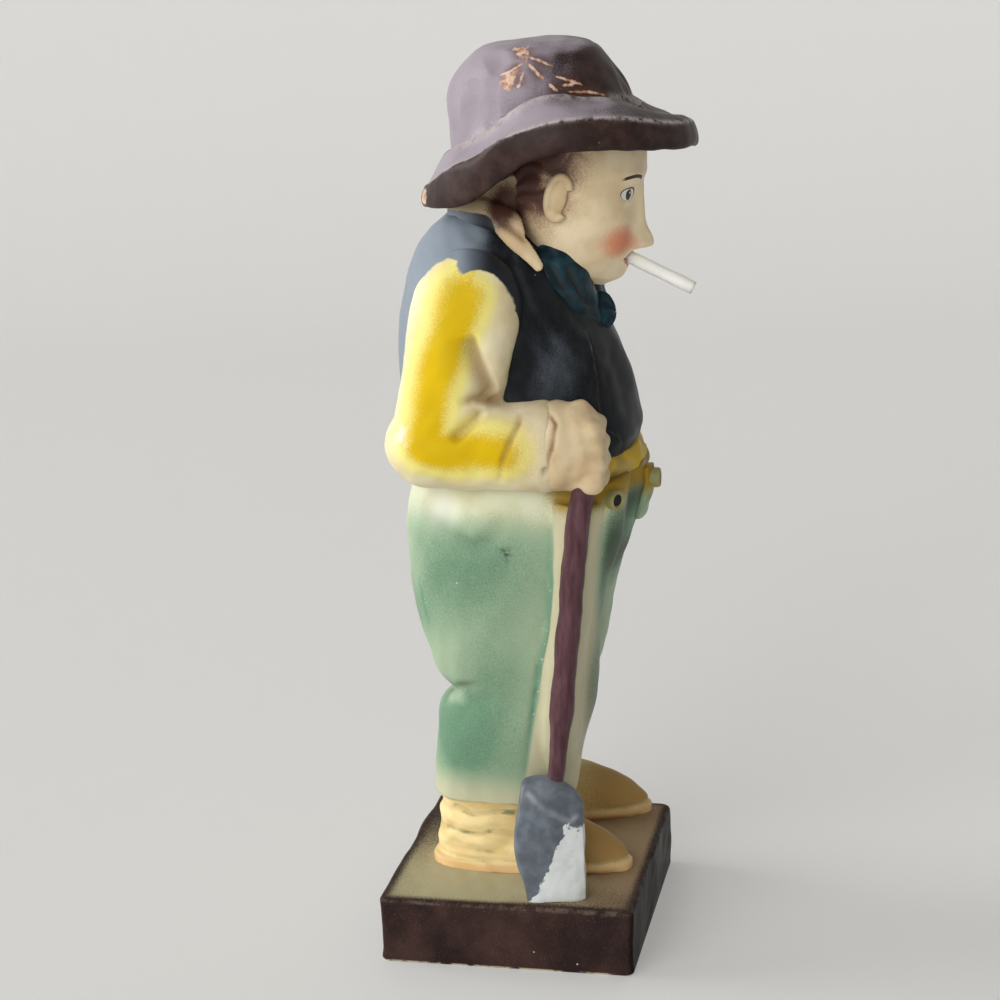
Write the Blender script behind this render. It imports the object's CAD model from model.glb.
# %% [markdown]
# # A painted lumberjack figurine
#
# The figurine is a casting: clay or plaster poured into a mould, joined from a few lumps and painted by
# hand and by airbrush. We build its looks around the packed model, which already holds every piece at its
# real size. Each piece gets a fine skin in place of the coarse solid, and a finish made of nodes alone.

import bpy
import numpy as np
from mathutils import Matrix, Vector
from mathutils.bvhtree import BVHTree


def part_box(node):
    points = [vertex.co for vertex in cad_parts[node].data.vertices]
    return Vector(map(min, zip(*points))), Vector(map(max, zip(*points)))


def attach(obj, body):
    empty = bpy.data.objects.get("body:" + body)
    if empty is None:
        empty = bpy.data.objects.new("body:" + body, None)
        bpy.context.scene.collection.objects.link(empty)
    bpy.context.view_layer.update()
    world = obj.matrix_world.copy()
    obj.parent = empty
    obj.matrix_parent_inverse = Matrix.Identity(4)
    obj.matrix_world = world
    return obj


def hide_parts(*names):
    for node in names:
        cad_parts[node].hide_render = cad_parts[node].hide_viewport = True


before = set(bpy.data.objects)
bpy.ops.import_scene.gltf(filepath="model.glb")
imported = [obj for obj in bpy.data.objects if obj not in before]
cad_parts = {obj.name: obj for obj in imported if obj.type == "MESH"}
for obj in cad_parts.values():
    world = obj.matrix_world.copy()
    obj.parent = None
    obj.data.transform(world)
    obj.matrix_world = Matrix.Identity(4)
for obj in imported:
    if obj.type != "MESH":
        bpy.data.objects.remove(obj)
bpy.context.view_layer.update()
METRES = 0.001  # one millimetre
print(len(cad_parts), "pieces in the packed model")

# %% [markdown]
# ## Places that many pieces share
#
# Everything below is in millimetres, in the same frame as the packed model. The main places are read from
# the boxes of the packed pieces, so that a change of size there carries over to here.

# %% Places read from the frame
def node_box(name):
    """Lowest and highest corner of a packed piece, in millimetres."""
    return np.array(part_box(name)) / METRES


PLINTH, TROUSERS, SHIRT, VEST, AXE = map(node_box, ("plinth", "trousers", "shirt_band", "vest", "axe_head"))

GROUND = PLINTH[1, 2]
MIDDLE = VEST[:, 0].mean()  # the figure's middle plane
HEM = TROUSERS[0, 2]
WAIST = TROUSERS[1, 2]
SIDES = {"right": -1, "left": 1}
print("waist at", round(WAIST, 1), "mm and the middle plane at", round(MIDDLE, 1), "mm")

# %% [markdown]
# ## The camera
#
# The camera stands where the photograph was taken from, a little above the figure and nearly at its right
# side. The same numbers turn a pixel of the photograph into a line of sight, which we use later to lay
# folds and chips where they are seen.

# %% Camera at the photograph's viewpoint
TARGET = np.array([0.0, 6.2, 143.3])
AZIMUTH, ELEVATION, ROLL = np.radians([-77.7, 15.8, -2.0])
DISTANCE = 772.0
PHOTO = 1000  # pixels each way
FOCAL = 2400.0  # pixels
SENSOR = 36.0

BACK = np.array([
    np.sin(AZIMUTH) * np.cos(ELEVATION), -np.cos(AZIMUTH) * np.cos(ELEVATION), np.sin(ELEVATION),
])
LEVEL = np.cross([0, 0, 1], BACK) / np.cos(ELEVATION)
STEEP = np.cross(BACK, LEVEL)
RIGHT = LEVEL * np.cos(ROLL) + STEEP * np.sin(ROLL)
UP = STEEP * np.cos(ROLL) - LEVEL * np.sin(ROLL)
EYE = TARGET + DISTANCE * BACK


def stand(thing, right, up, back, place):
    """Puts a camera or lamp into the scene at a place, with the directions of its three axes."""
    pose = np.eye(4)
    pose[:3] = np.stack([right, up, back, np.asarray(place) * METRES], 1)
    thing.matrix_world = Matrix(pose.tolist())
    bpy.context.scene.collection.objects.link(thing)


camera = bpy.data.objects.new("camera", bpy.data.cameras.new("camera"))
camera.data.sensor_width = SENSOR
camera.data.lens = FOCAL / PHOTO * SENSOR
camera.data.clip_start = 0.05
stand(camera, RIGHT, UP, BACK, EYE)
bpy.context.scene.camera = camera
print("camera at", np.round(EYE), "mm")


# %% [markdown]
# ## Skins worked out with numpy
#
# A casting has no flat faces or sharp corners, so every form here is a grid of points: rings carried up a
# stack or along a path. A profile is a short list of rows, and a smooth curve runs through them. The grid
# is closed at both ends with a fan.

# %% Smooth profiles
def smooth_rows(rows, at):
    """A cubic curve through rows of (place, value, value, ...): its slope at a row is that between the two
    neighbouring rows. Gives the values at the places at."""
    rows = np.asarray(rows, float)
    place, value = rows[:, 0], rows[:, 1:]
    last = len(rows) - 1
    ahead = np.minimum(np.arange(last + 1) + 1, last)
    behind = np.maximum(np.arange(last + 1) - 1, 0)
    slope = (value[ahead] - value[behind]) / (place[ahead] - place[behind])[:, None]
    row = np.clip(np.searchsorted(place, at, side="right") - 1, 0, last - 1)
    span = (place[row + 1] - place[row])[:, None]
    t = (np.asarray(at, float) - place[row])[:, None] / span
    start, end = value[row], value[row + 1]
    rise, out, into = end - start, slope[row] * span, slope[row + 1] * span
    return start + t * (out + t * (3 * rise - 2 * out - into + t * (out + into - 2 * rise)))


bend = smooth_rows([(0, 0), (1, 1), (2, 4)], [0.5, 1.5]).ravel()
print("a curve through 0, 1 and 4 is at", bend, "half way between them")


# %% Rings up a stack
def turns(sides):
    """Angles of the points of a ring."""
    return np.linspace(0, 2 * np.pi, sides, endpoint=False)


def full(value, square):
    """A sine or cosine pushed towards 1, which makes an oval squarer: sign(v) |v| ** (2 / square)."""
    return np.sign(value) * np.abs(value) ** (2 / square)


def stack(rows, foot, top, rings, sides, square=2.0, x=0.0):
    """Level ovals up a profile. A row is (share of the height, half width, front, back), and each oval is
    x + wide cos u, middle + depth sin u, with sine and cosine made fuller by square."""
    at = np.linspace(0, 1, rings)
    wide, front, back = smooth_rows(rows, at).T[:, :, None]
    u = turns(sides)[None]
    across = np.broadcast_to(np.asarray(x, float).reshape(-1, 1), (rings, 1))
    height = np.broadcast_to((foot + (top - foot) * at)[:, None], (rings, sides))
    return np.stack([
        across + wide * full(np.cos(u), square),
        (front + back) / 2 + (back - front) / 2 * full(np.sin(u), square),
        height,
    ], -1)


pot = stack([(0, 1, -1, 1), (1, 2, -2, 2)], 0, 5, rings=6, sides=8)
print("a small pot has rings and sides", pot.shape[:2])


# %% Tubes along a path
def unit(ways):
    """Directions made one long."""
    return ways / np.linalg.norm(ways, axis=-1, keepdims=True)


def tube(path, wide, high, sides):
    """An oval carried along a path of points: point + across wide cos u + upright high sin u. across is level
    and square to the path."""
    path = np.asarray(path, float)
    ahead = unit(np.gradient(path, axis=0))
    level = np.where(np.abs(ahead[:, :1]) > 0.8, [[0.0, 1.0, 0.0]], [[1.0, 0.0, 0.0]])
    across = unit(level - ahead * (level * ahead).sum(1, keepdims=True))
    upright = np.cross(ahead, across)
    u = turns(sides)[None, :, None]
    wide, high = (np.broadcast_to(size, len(path))[:, None, None] for size in (wide, high))
    return path[:, None] + across[:, None] * wide * np.cos(u) + upright[:, None] * high * np.sin(u)


def round_ends(at, start, end):
    """How full a tube is at places along it, if its two round ends take up these shares of its length: the
    root of 1 - d squared, with d the depth into an end."""
    left = np.maximum(0, 1 - at / start) if start else 0 * at
    right = np.maximum(0, 1 - (1 - at) / end) if end else 0 * at
    return np.sqrt(np.maximum(0.0004, 1 - np.maximum(left, right) ** 2))


def gathered(count):
    """Places from 0 to 1 that lie closer together towards both ends: (1 - cos(pi t)) / 2."""
    return (1 - np.cos(np.pi * np.linspace(0, 1, count))) / 2


def pill(start, end, radius, sides=40, rings=40):
    """A rod with round ends from one point to another."""
    start, end = np.asarray(start, float), np.asarray(end, float)
    way = end - start
    long = np.linalg.norm(way)
    reach = way / long * radius
    at = gathered(rings)
    size = radius * round_ends(at, radius / (long + 2 * radius), radius / (long + 2 * radius))
    return tube(start - reach + at[:, None] * (way + 2 * reach), size, size, sides)


rod = pill([0, 0, 0], [0, 0, 10], 2)
print("a rod on 10 mm with round ends is", round(np.ptp(rod[..., 2]), 1), "mm long")


# %% Balls, and the skin of a grid
def egg(centre, radii, rings=60, sides=80):
    """A ball stretched along the three axes: centre + radii (sin v cos u, sin v sin u, -cos v)."""
    v = np.linspace(0.02, np.pi - 0.02, rings)[:, None]
    u = turns(sides)[None]
    ball = np.stack([np.sin(v) * np.cos(u), np.sin(v) * np.sin(u), -np.cos(v) + 0 * u], -1)
    return np.asarray(centre) + ball * np.asarray(radii)


def skin(grid):
    """Points and faces of a closed grid: quads between neighbouring rings and a fan over each end."""
    rings, sides, _ = grid.shape
    index = np.arange(rings * sides).reshape(rings, sides)
    low, high = index[:-1], index[1:]
    quads = np.stack([low, np.roll(low, -1, 1), np.roll(high, -1, 1), high], -1).reshape(-1, 4)
    foot, top = rings * sides, rings * sides + 1
    first, last = index[0], index[-1]
    fans = [np.stack([np.full(sides, foot), np.roll(first, -1), first], -1),
            np.stack([np.full(sides, top), last, np.roll(last, -1)], -1)]
    points = np.concatenate([grid.reshape(-1, 3), grid[0].mean(0)[None], grid[-1].mean(0)[None]])
    return points, quads.tolist() + np.concatenate(fans).tolist()


print("the pot has", len(skin(pot)[0]), "points and", len(skin(pot)[1]), "faces")


# %% [markdown]
# ## Castings
#
# Where two lumps of clay meet they run into each other. We get that by filling overlapping forms with small
# cubes, taking the skin of the cubes, and relaxing it. Folds, creases and dents are then pressed into the
# skin, along its normals, by whole-array formulas. The same formulas give masks that tell the paint where
# it lies, kept on the mesh as attributes.

# %% Evening out a mesh
def relax(points, edges, rounds):
    """Evens out a mesh without shrinking it: each round moves every point half way to the mean of its
    neighbours, and then a little more than that back."""
    ends = np.concatenate([edges[:, 0], edges[:, 1]])
    others = np.concatenate([edges[:, 1], edges[:, 0]])
    count = np.bincount(ends, minlength=len(points))[:, None]
    for step in [0.5, -0.52] * rounds:
        total = np.stack([np.bincount(ends, points[others, k], len(points)) for k in range(3)], 1)
        points = points + step * (total / count - points)
    return points


zigzag = relax(np.array([[0, 0, 0], [1, 1, 0], [2, 0, 0.0]]), np.array([[0, 1], [1, 2]]), 1)
print("one round takes a zigzag from 1 mm to", round(np.ptp(zigzag[:, 1]), 2), "mm")


# %% Lumps that run together
class Lump:
    """A mesh in metres, made of grids and read and written as arrays of millimetres."""

    def __init__(self, name, *grids, cube=None, rounds=12):
        points, faces, before = [], [], 0
        for grid in grids:
            more, quads = skin(grid)
            faces += [[index + before for index in face] for face in quads]
            points.append(more)
            before += len(more)
        self.mesh = bpy.data.meshes.new(name)
        self.mesh.from_pydata((np.concatenate(points) * METRES).tolist(), [], faces)
        self.thing = bpy.data.objects.new(name, self.mesh)
        bpy.context.scene.collection.objects.link(self.thing)
        if cube:
            self.fuse(cube, rounds)

    def fuse(self, cube, rounds):
        """Runs overlapping lumps into one skin, by way of cubes of that size."""
        remesh = self.thing.modifiers.new("fuse", "REMESH")
        remesh.mode, remesh.voxel_size = "VOXEL", cube * METRES
        ready = self.thing.evaluated_get(bpy.context.evaluated_depsgraph_get())
        lumps, self.mesh = self.mesh, bpy.data.meshes.new_from_object(ready)
        self.thing.modifiers.clear()
        self.thing.data = self.mesh
        bpy.data.meshes.remove(lumps)
        self.mesh.name = self.thing.name
        self.points = relax(self.points, self.edges, rounds)

    @property
    def edges(self):
        """Pairs of neighbouring points."""
        flat = np.empty(len(self.mesh.edges) * 2, np.int32)
        self.mesh.edges.foreach_get("vertices", flat)
        return flat.reshape(-1, 2)

    @property
    def points(self):
        """Places of the mesh's points, in millimetres."""
        flat = np.empty(len(self.mesh.vertices) * 3)
        self.mesh.vertices.foreach_get("co", flat)
        return flat.reshape(-1, 3) / METRES

    @points.setter
    def points(self, points):
        self.mesh.vertices.foreach_set("co", (points * METRES).ravel())
        self.mesh.update()

    @property
    def normals(self):
        """The way the skin faces at each point."""
        flat = np.empty(len(self.mesh.vertices) * 3, np.float32)
        self.mesh.vertex_normals.foreach_get("vector", flat)
        return flat.reshape(-1, 3).astype(float)


print("a lump has", [name for name in vars(Lump) if not name.startswith("_")])


# %% A piece in the making
class Casting(Lump):
    """A lump that is pressed, marked for its paint and handed to the frame."""

    def press(self, height):
        """Moves every point out along its normal by a height in millimetres."""
        self.points = self.points + self.normals * np.asarray(height)[:, None]

    def field(self, name, values):
        """Keeps a value for each point as an attribute that the paint can read."""
        kept = self.mesh.attributes.get(name) or self.mesh.attributes.new(name, "FLOAT", "POINT")
        kept.data.foreach_set("value", np.asarray(values, np.float32))

    def mask(self, name, values):
        """A field held between 0 and 1."""
        self.field(name, np.clip(values, 0, 1))

    def touch(self, pixels):
        """Where lines of sight through pixels of the photograph first meet this piece."""
        faces = [list(face.vertices) for face in self.mesh.polygons]
        tree = BVHTree.FromPolygons(self.points.tolist(), faces)
        middle = self.points.mean(0)
        found = []
        for across, down in pixels:
            way = -BACK + RIGHT * (across - PHOTO / 2) / FOCAL - UP * (down - PHOTO / 2) / FOCAL
            hit = tree.ray_cast(EYE.tolist(), way.tolist())[0]
            near = EYE + way * ((middle - EYE) @ -BACK)
            found.append(hit or tree.find_nearest(near.tolist())[0])
        return np.array(found)

    def done(self, finish, slot, *nodes, body="figure"):
        """Gives the piece its finish and hands it to the frame in place of the packed nodes."""
        self.mesh.materials.clear()
        self.mesh.materials.append(finish)
        self.mesh.shade_smooth()
        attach(self.thing, body)
        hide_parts(*nodes)
        print(self.thing.name, len(self.mesh.vertices), "points")


print("a casting can", [name for name in vars(Casting) if not name.startswith("_")])


# %% Following a line on a skin
def follow(points, line):
    """The nearest place to every point on a line of straight stretches: the way from it to the point, the
    line's direction there, and how far along the line it is, from 0 to 1."""
    line = np.asarray(line, float)
    runs = np.linalg.norm(np.diff(line, axis=0), axis=1)
    least, place = np.full(len(points), np.inf), np.zeros(len(points))
    off, ahead = np.zeros((len(points), 3)), np.zeros((len(points), 3))
    for start, end, run, before in zip(line[:-1], line[1:], runs, np.cumsum(runs) - runs):
        share = np.clip((points - start) @ (end - start) / run**2, 0, 1)
        way = points - start - share[:, None] * (end - start)
        gap = (way**2).sum(1)
        nearer = gap < least
        least = np.where(nearer, gap, least)
        place = np.where(nearer, (before + share * run) / runs.sum(), place)
        off = np.where(nearer[:, None], way, off)
        ahead = np.where(nearer[:, None], (end - start) / run, ahead)
    return off, ahead, place


def height_along(points, line):
    """The height of a line at the place on it nearest to every point, read by length along the line."""
    runs = np.linalg.norm(np.diff(line, axis=0), axis=1)
    return np.interp(follow(points, line)[2], np.concatenate([[0], np.cumsum(runs)]) / runs.sum(), line[:, 2])


walk = follow(np.array([[1.0, 2.0, 0.0]]), [(0, 0, 0), (4, 0, 0)])
print("a point beside a line is", np.linalg.norm(walk[0]), "mm off,", walk[2][0], "of the way along")


# %% Strokes along a line
def hump(gap, wide):
    """exp(-(gap / wide) squared)."""
    return np.exp(-((gap / wide) ** 2))


def ends(place, fade):
    """1 along a line, falling to 0 over a share of it at both ends; with no share the ends stay round."""
    return np.clip(np.minimum(place, 1 - place) / fade, 0, 1) if fade else 1.0


def fold(points, line, width, fade=0.25):
    """A soft stroke along a line: exp(-(gap / width) squared), fading at both ends."""
    off, _, place = follow(points, line)
    return np.exp(-(off**2).sum(1) / width**2) * ends(place, fade)


def crease(points, normals, line, left, right, fade=0.25):
    """A stroke of two widths, one on the left of the line as it is walked with the skin underfoot and one on
    its right, so that it is steep on one side and gentle on the other."""
    off, ahead, place = follow(points, line)
    side = (np.cross(ahead, off) * normals).sum(1)
    return np.exp(-(off**2).sum(1) / np.where(side > 0, left, right) ** 2) * ends(place, fade)


def beside(points, normals, line):
    """Distance from a line along the skin, above 0 on the left of it as it is walked and below 0 on its
    right, and the place along the line."""
    off, ahead, place = follow(points, line)
    side = (np.cross(ahead, off) * normals).sum(1)
    return np.linalg.norm(off, axis=1) * np.sign(side), place


print("a stroke at 0, 1 and 2 widths from its line:", np.round(hump(np.arange(3), 1), 3))


# %% Spots, swells and mirror images
WAVES, WAVE_SUM = 12, 3.5  # sine waves in a swelling, and what their sum seldom passes


def spot(points, centre, radii):
    """A soft ball: exp(-|p - centre| squared), with the distance along each axis in radii."""
    return np.exp(-((((points - centre) / radii) ** 2).sum(1)))


def swell(points, size, seed):
    """Smooth random swelling between about -1 and 1: sine waves about size long in random directions."""
    chance = np.random.default_rng(seed)
    ways = unit(chance.normal(size=(WAVES, 3)))
    waves = ways * (2 * np.pi / size * chance.uniform(0.6, 1.5, (WAVES, 1)))
    return np.sin(points @ waves.T + chance.uniform(0, 2 * np.pi, WAVES)).sum(1) / WAVE_SUM


def step(value, low, high):
    """0 below low, 1 above high, and a smooth rise between."""
    t = np.clip((np.asarray(value) - low) / (high - low), 0, 1)
    return t * t * (3 - 2 * t)


def other_side(line):
    """A line or point mirrored in the figure's middle plane."""
    return np.asarray(line) * [-1, 1, 1] + [2 * MIDDLE, 0, 0]


def twice(mark, points, line, *sizes):
    """A fold or spot and its mirror image in the middle plane, added."""
    return mark(points, line, *sizes) + mark(points, other_side(line), *sizes)


print("a quarter of the way up, a step has reached", float(step(0.25, 0, 1)))


# %% [markdown]
# ## Finishes
#
# Cold paint over a cream ground coat, some brushed and some sprayed. Shader maths is written as Python
# expressions: a Socket is a value in the node tree, and adding or multiplying two of them adds a Math node.
# A paint is written #rrggbb, as in a paint chart. Only colour, roughness and a bump vary over a surface. A
# mask that a piece does not have reads as 0.

# %% Sockets in expressions
class Socket:
    """A value in a material, for use in expressions."""

    def __init__(self, finish, out):
        self.finish, self.out = finish, out

    def __add__(self, other):
        return self.finish.maths("ADD", self, other)

    def __sub__(self, other):
        return self.finish.maths("SUBTRACT", self, other)

    def __mul__(self, other):
        return self.finish.maths("MULTIPLY", self, other)

    def __truediv__(self, other):
        return self.finish.maths("DIVIDE", self, other)

    def __rsub__(self, other):
        return self.finish.maths("SUBTRACT", other, self)

    __radd__, __rmul__ = __add__, __mul__


print("a socket knows", [name for name in vars(Socket) if name.endswith("__") and len(name) < 10])


# %% Nodes of a material
def paint(code):
    """A colour written #rrggbb as linear red, green, blue and 1."""
    part = np.array([int(code[i:i + 2], 16) for i in (1, 3, 5)]) / 255
    linear = np.where(part <= 0.04045, part / 12.92, ((part + 0.055) / 1.055) ** 2.4)
    return (*linear.tolist(), 1.0)


class Nodes:
    """The nodes of a material, or of the world."""

    def __init__(self, name, made_in=bpy.data.materials):
        self.material = made_in.new(name)
        self.material.use_nodes = True
        self.tree = self.material.node_tree
        self.tree.nodes.clear()
        self.place = self.node("TexCoord", out="Object")

    def node(self, kind, settings=(), inputs=(), out=0):
        """Adds a node of a kind, with its settings, and the values, paints or links of its inputs, by name or
        number."""
        made = self.tree.nodes.new("ShaderNode" + kind)
        for key, value in dict(settings).items():
            setattr(made, key, value)
        for key, value in dict(inputs).items():
            if isinstance(value, Socket):
                self.tree.links.new(value.out, made.inputs[key])
            else:
                made.inputs[key].default_value = paint(value) if isinstance(value, str) else value
        return Socket(self, made.outputs[out]) if made.outputs else None

    def maths(self, operation, *values):
        """A Math node on values or sockets."""
        return self.node("Math", {"operation": operation}, dict(enumerate(values)))

    def rise(self, value, low, high):
        """0 below low, 1 above high, smooth between."""
        inputs = {"Value": value, "From Min": low, "From Max": high}
        return self.node("MapRange", {"interpolation_type": "SMOOTHSTEP"}, inputs)

    def mask(self, name):
        """The value that a casting keeps under a name."""
        return self.node("Attribute", {"attribute_name": name}, out="Fac")

    def noise(self, size, detail=3.0, rough=0.55, stretch=None):
        """Cloudy noise from 0 to 1, with lumps about size millimetres across."""
        place = self.place
        if stretch:
            place = self.node("Mapping", {}, {"Vector": place, "Scale": stretch})
        inputs = {"Vector": place, "Scale": 1 / (size * METRES), "Detail": detail, "Roughness": rough}
        return self.node("TexNoise", {}, inputs)

    def clouds(self, size, low, high, *kind, **more):
        """Noise cut into patches: 0 where it is below low and 1 where it is above high."""
        return self.rise(self.noise(size, *kind, **more), low, high)

    def cells(self, size):
        """Distance to the nearest of many scattered dots about size millimetres apart, in that unit."""
        return self.node("TexVoronoi", {}, {"Vector": self.place, "Scale": 1 / (size * METRES)})

    def mix(self, under, over, share):
        """One colour over another: under (1 - share) + over share."""
        inputs = {"Factor": share, 6: under, 7: over}
        return self.node("Mix", {"data_type": "RGBA"}, inputs, out=2)


print("mid grey #808080 is", round(paint("#808080")[0], 3), "in linear light")


# %% Ways to lay paint on
class Finish(Nodes):
    """A material under construction, from its ground colour to its last coat."""

    def mottled(self, first, second, *patches, **more):
        """Two paints in clouds."""
        return self.mix(first, second, self.clouds(*patches, **more))

    def worn(self, colour, under, mask, share, *patches):
        """Paint rubbed through to another colour, in clouds, where a mask is."""
        return self.mix(colour, under, self.mask(mask) * self.clouds(*patches) * share)

    def spray(self, under, over, mask, grain=0.35, size=0.5):
        """Airbrushed paint: the mask with a fine grain of droplets in its soft edge."""
        droplets = self.noise(size, 1.0) - 0.5
        return self.mix(under, over, self.rise(mask + droplets * grain, 0.05, 0.95))

    def brush(self, under, over, mask, ragged=0.35, size=3.0, soft=0.12):
        """Brushed paint: the mask cut off at a ragged edge."""
        edge = mask + (self.noise(size, 4.0, 0.6) - 0.5) * ragged
        return self.mix(under, over, self.rise(edge, 0.5 - soft / 2, 0.5 + soft / 2))

    def coats(self, colour, *coats):
        """Lays coats over a colour in turn. A coat is a paint, the mask it goes by, its share, and the grain
        if it is sprayed; without a grain it is wiped on evenly."""
        for over, mask, share, *grain in coats:
            amount = self.mask(mask) * share
            colour = self.spray(colour, over, amount, *grain) if grain else self.mix(colour, over, amount)
        return colour

    def surface(self, colour, rough, height, depth, gloss):
        """Closes the material: colour, roughness, and a height from 0 to 1 as a bump depth millimetres deep,
        under a shine of that gloss."""
        bump = self.node("Bump", {}, {"Height": height, "Strength": 1.0, "Distance": depth * METRES})
        inputs = {"Base Color": colour, "Roughness": rough, "Normal": bump, "Specular IOR Level": gloss}
        self.node("OutputMaterial", {}, {"Surface": self.node("BsdfPrincipled", {}, inputs)})
        return self.material


print("paint can be", [name for name in vars(Finish) if not name.startswith("_")])


# %% [markdown]
# ## Marks that every finish shares
#
# An old casting has pinholes, pale flecks where paint has come off, and dirt in its creases. One function
# lays these over any colour, so that all the pieces look as if they had stood on the same shelf.

# %% Age over any colour
DIRT, CHALK = "#5b4632", "#e9dfd0"


def aged(finish, colour, rough, dirt=0.5, flecks=0.5, grain=0.06, gloss=0.25):
    """Dirt where the mask 'crease' is, pale flecks and pinholes, and a fine grain in the bump."""
    cloud = finish.noise(9.0)
    soil = finish.mask("crease") * (0.55 + 0.5 * cloud) * dirt
    colour = finish.mix(colour, DIRT, soil)
    dots = finish.cells(7.0)
    fleck = finish.rise(dots, 0.05, 0.03) * finish.clouds(11.0, 0.52, 0.6) * flecks
    colour = finish.mix(colour, CHALK, fleck)
    pores = finish.rise(finish.cells(2.3), 0.10, 0.05) * finish.clouds(6.0, 0.5, 0.62)
    height = finish.noise(0.7, 2.0) * 0.35 + finish.noise(3.0, 2.0) * 0.5 - pores * 0.6
    shine = rough + (cloud - 0.5) * 0.18 + fleck * 0.2
    return finish.surface(colour, shine, height, grain, gloss)


print("dirt", np.round(paint(DIRT)[:3], 2), "and chalk", np.round(paint(CHALK)[:3], 2))


# %% [markdown]
# ## The plinth
#
# A square block with soft edges, cast with the figure and sprayed pale on top where the airbrush passed. A
# cube with a Bevel modifier would do for the outside. We stack rounded squares instead, so that one skin
# runs from the pour hole out across the underside, up the sides, over the edge and in to the middle of the
# top, with points enough for a little swelling that keeps it from looking machined.

# %% Form of the plinth
EDGE, CORNER, BEVEL = 1.4, 2.6, 1.0  # radii over the top edge, at the upright corners and under the block
HOLE_AT = np.array([20.0, 12.0])
HOLE_RADIUS, HOLE_DEPTH = 8.0, 14.0
PLINTH_SIDES = 400


def rounded_square(half, corner):
    """Points evenly spaced round a rectangle with round corners: arcs joined by straight stretches."""
    arc = np.linspace(0, np.pi / 2, 16)
    outline = [[half[0], 0.0]]
    for quarter, (sx, sy) in enumerate([(1, 1), (-1, 1), (-1, -1), (1, -1)]):
        turn = arc + quarter * np.pi / 2
        centre = np.array([sx, sy]) * (np.asarray(half) - corner)
        outline += (centre + corner * np.stack([np.cos(turn), np.sin(turn)], 1)).tolist()
    outline = np.array(outline + outline[:1])
    run = np.concatenate([[0], np.cumsum(np.linalg.norm(np.diff(outline, axis=0), axis=1))])
    at = np.linspace(0, run[-1], PLINTH_SIDES, endpoint=False)
    return np.stack([np.interp(at, run, outline[:, k]) for k in range(2)], 1)


def plinth_rings():
    """Rings of the block from the ceiling of the pour hole to the middle of the top."""
    half = PLINTH[1, :2]
    u = turns(PLINTH_SIDES)[:, None]
    hole = HOLE_AT + HOLE_RADIUS * np.concatenate([np.cos(u), np.sin(u)], 1)
    square = rounded_square(half, CORNER)
    rings = [(hole, HOLE_DEPTH), (hole, BEVEL)]
    rings += [(hole + (square * (1 - BEVEL / half) - hole) * t, 0.0) for t in np.linspace(0.02, 1, 12)]
    turn = np.linspace(0, np.pi / 2, 6)[1:]
    rings += [(square * (1 - BEVEL * (1 - np.sin(a)) / half), BEVEL * (1 - np.cos(a))) for a in turn]
    rings += [(square, z) for z in np.linspace(BEVEL, GROUND - EDGE, 26)[1:]]
    turn = np.linspace(0, np.pi / 2, 12)[1:]
    rings += [(square * (1 - EDGE * (1 - np.cos(a)) / half), GROUND - EDGE * (1 - np.sin(a))) for a in turn]
    top = square * (1 - EDGE / half)
    rings += [(top * (1 - t), GROUND) for t in np.linspace(0, 0.985, 64)[1:]]
    return np.stack([np.c_[ring, np.full(len(ring), z)] for ring, z in rings])


print("the plinth has", len(plinth_rings()), "rings")


# %% Plinth and its paint
plinth = Casting("plinth_block", plinth_rings())
place = plinth.points
upward = step(place[:, 2], 0.5, 4)
plinth.press(upward * (0.25 * swell(place, 30, 1) + 0.06 * swell(place, 8, 2)))
place = plinth.points
edge_gap = np.minimum(PLINTH[1, 0] - np.abs(place[:, 0]), PLINTH[1, 1] - np.abs(place[:, 1]))
on_top = step(plinth.normals[:, 2], 0.35, 0.85) * step(place[:, 2], GROUND - 2, GROUND - 0.5)
sprayed = spot(place, [-26, 16, GROUND], [40, 40, 30])
plinth.mask("sprayed", on_top * sprayed * step(edge_gap, 0.2, 5))
plinth.mask("brown", on_top * spot(place, [6, -22, GROUND], [60, 40, 30]) * step(edge_gap, 0.2, 4))
plinth.mask("shady", step(-plinth.normals[:, 1], 0.5, 0.9))
plinth.mask("worn", step(place[:, 2], 1.0, 0.5))
plinth.mask("rim", hump(edge_gap, 0.8) * step(place[:, 2], GROUND - 1.6, GROUND - 0.8))


def plinth_finish():
    """Maroon-brown brushed on the sides, pale olive sprayed on top, and bare casting along worn edges."""
    finish = Finish("plinth_paint")
    colour = finish.coats(
        finish.mottled("#2e2322", "#46332f", 18.0, 0.35, 0.7, 4.0, 0.6),
        ("#130d0a", "shady", 0.9), ("#a88f70", "brown", 1.0, 0.7), ("#b6ad8b", "sprayed", 1.0, 0.7))
    colour = finish.worn(colour, "#9b8a78", "rim", 0.3, 5.0, 0.42, 0.62, 5.0, 0.7)
    colour = finish.worn(colour, "#cfc4a6", "worn", 1.0, 9.0, 0.44, 0.54, 5.0, 0.7)
    rough = 0.34 + 0.3 * finish.mask("sprayed")
    return aged(finish, colour, rough, flecks=0.8, grain=0.07, gloss=0.02)


plinth.done(plinth_finish(), "plinth_brown", "plinth")

# %% [markdown]
# ## Boots
#
# Each boot is a shaft, a foot that slopes to a round toe, and a sole with a lip. It could be sculpted from
# one ball; three plain lumps that run together keep the sole's edge crisp and every size a number. Rings of
# wrinkles go round the ankle; they are a sine wave up the shaft whose phase wanders.

# %% Form of a boot
BOOT_WIDTH, HEEL, TOE, INSTEP, TOE_HEIGHT, TOE_WIDTH = 23.0, 19.5, 46.0, 19.0, 9.0, 17.0
SOLE, LIP, SOLE_SQUARE = 3.2, 0.9, 2.86
SUNK = 0.2  # of the soles into the plinth
ANKLE_Y = 10.0
ANKLE_X = {"right": -8.0, "left": 31.5}
TOE_OUT = {"right": np.radians(-2.0), "left": np.radians(9.0)}


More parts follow.
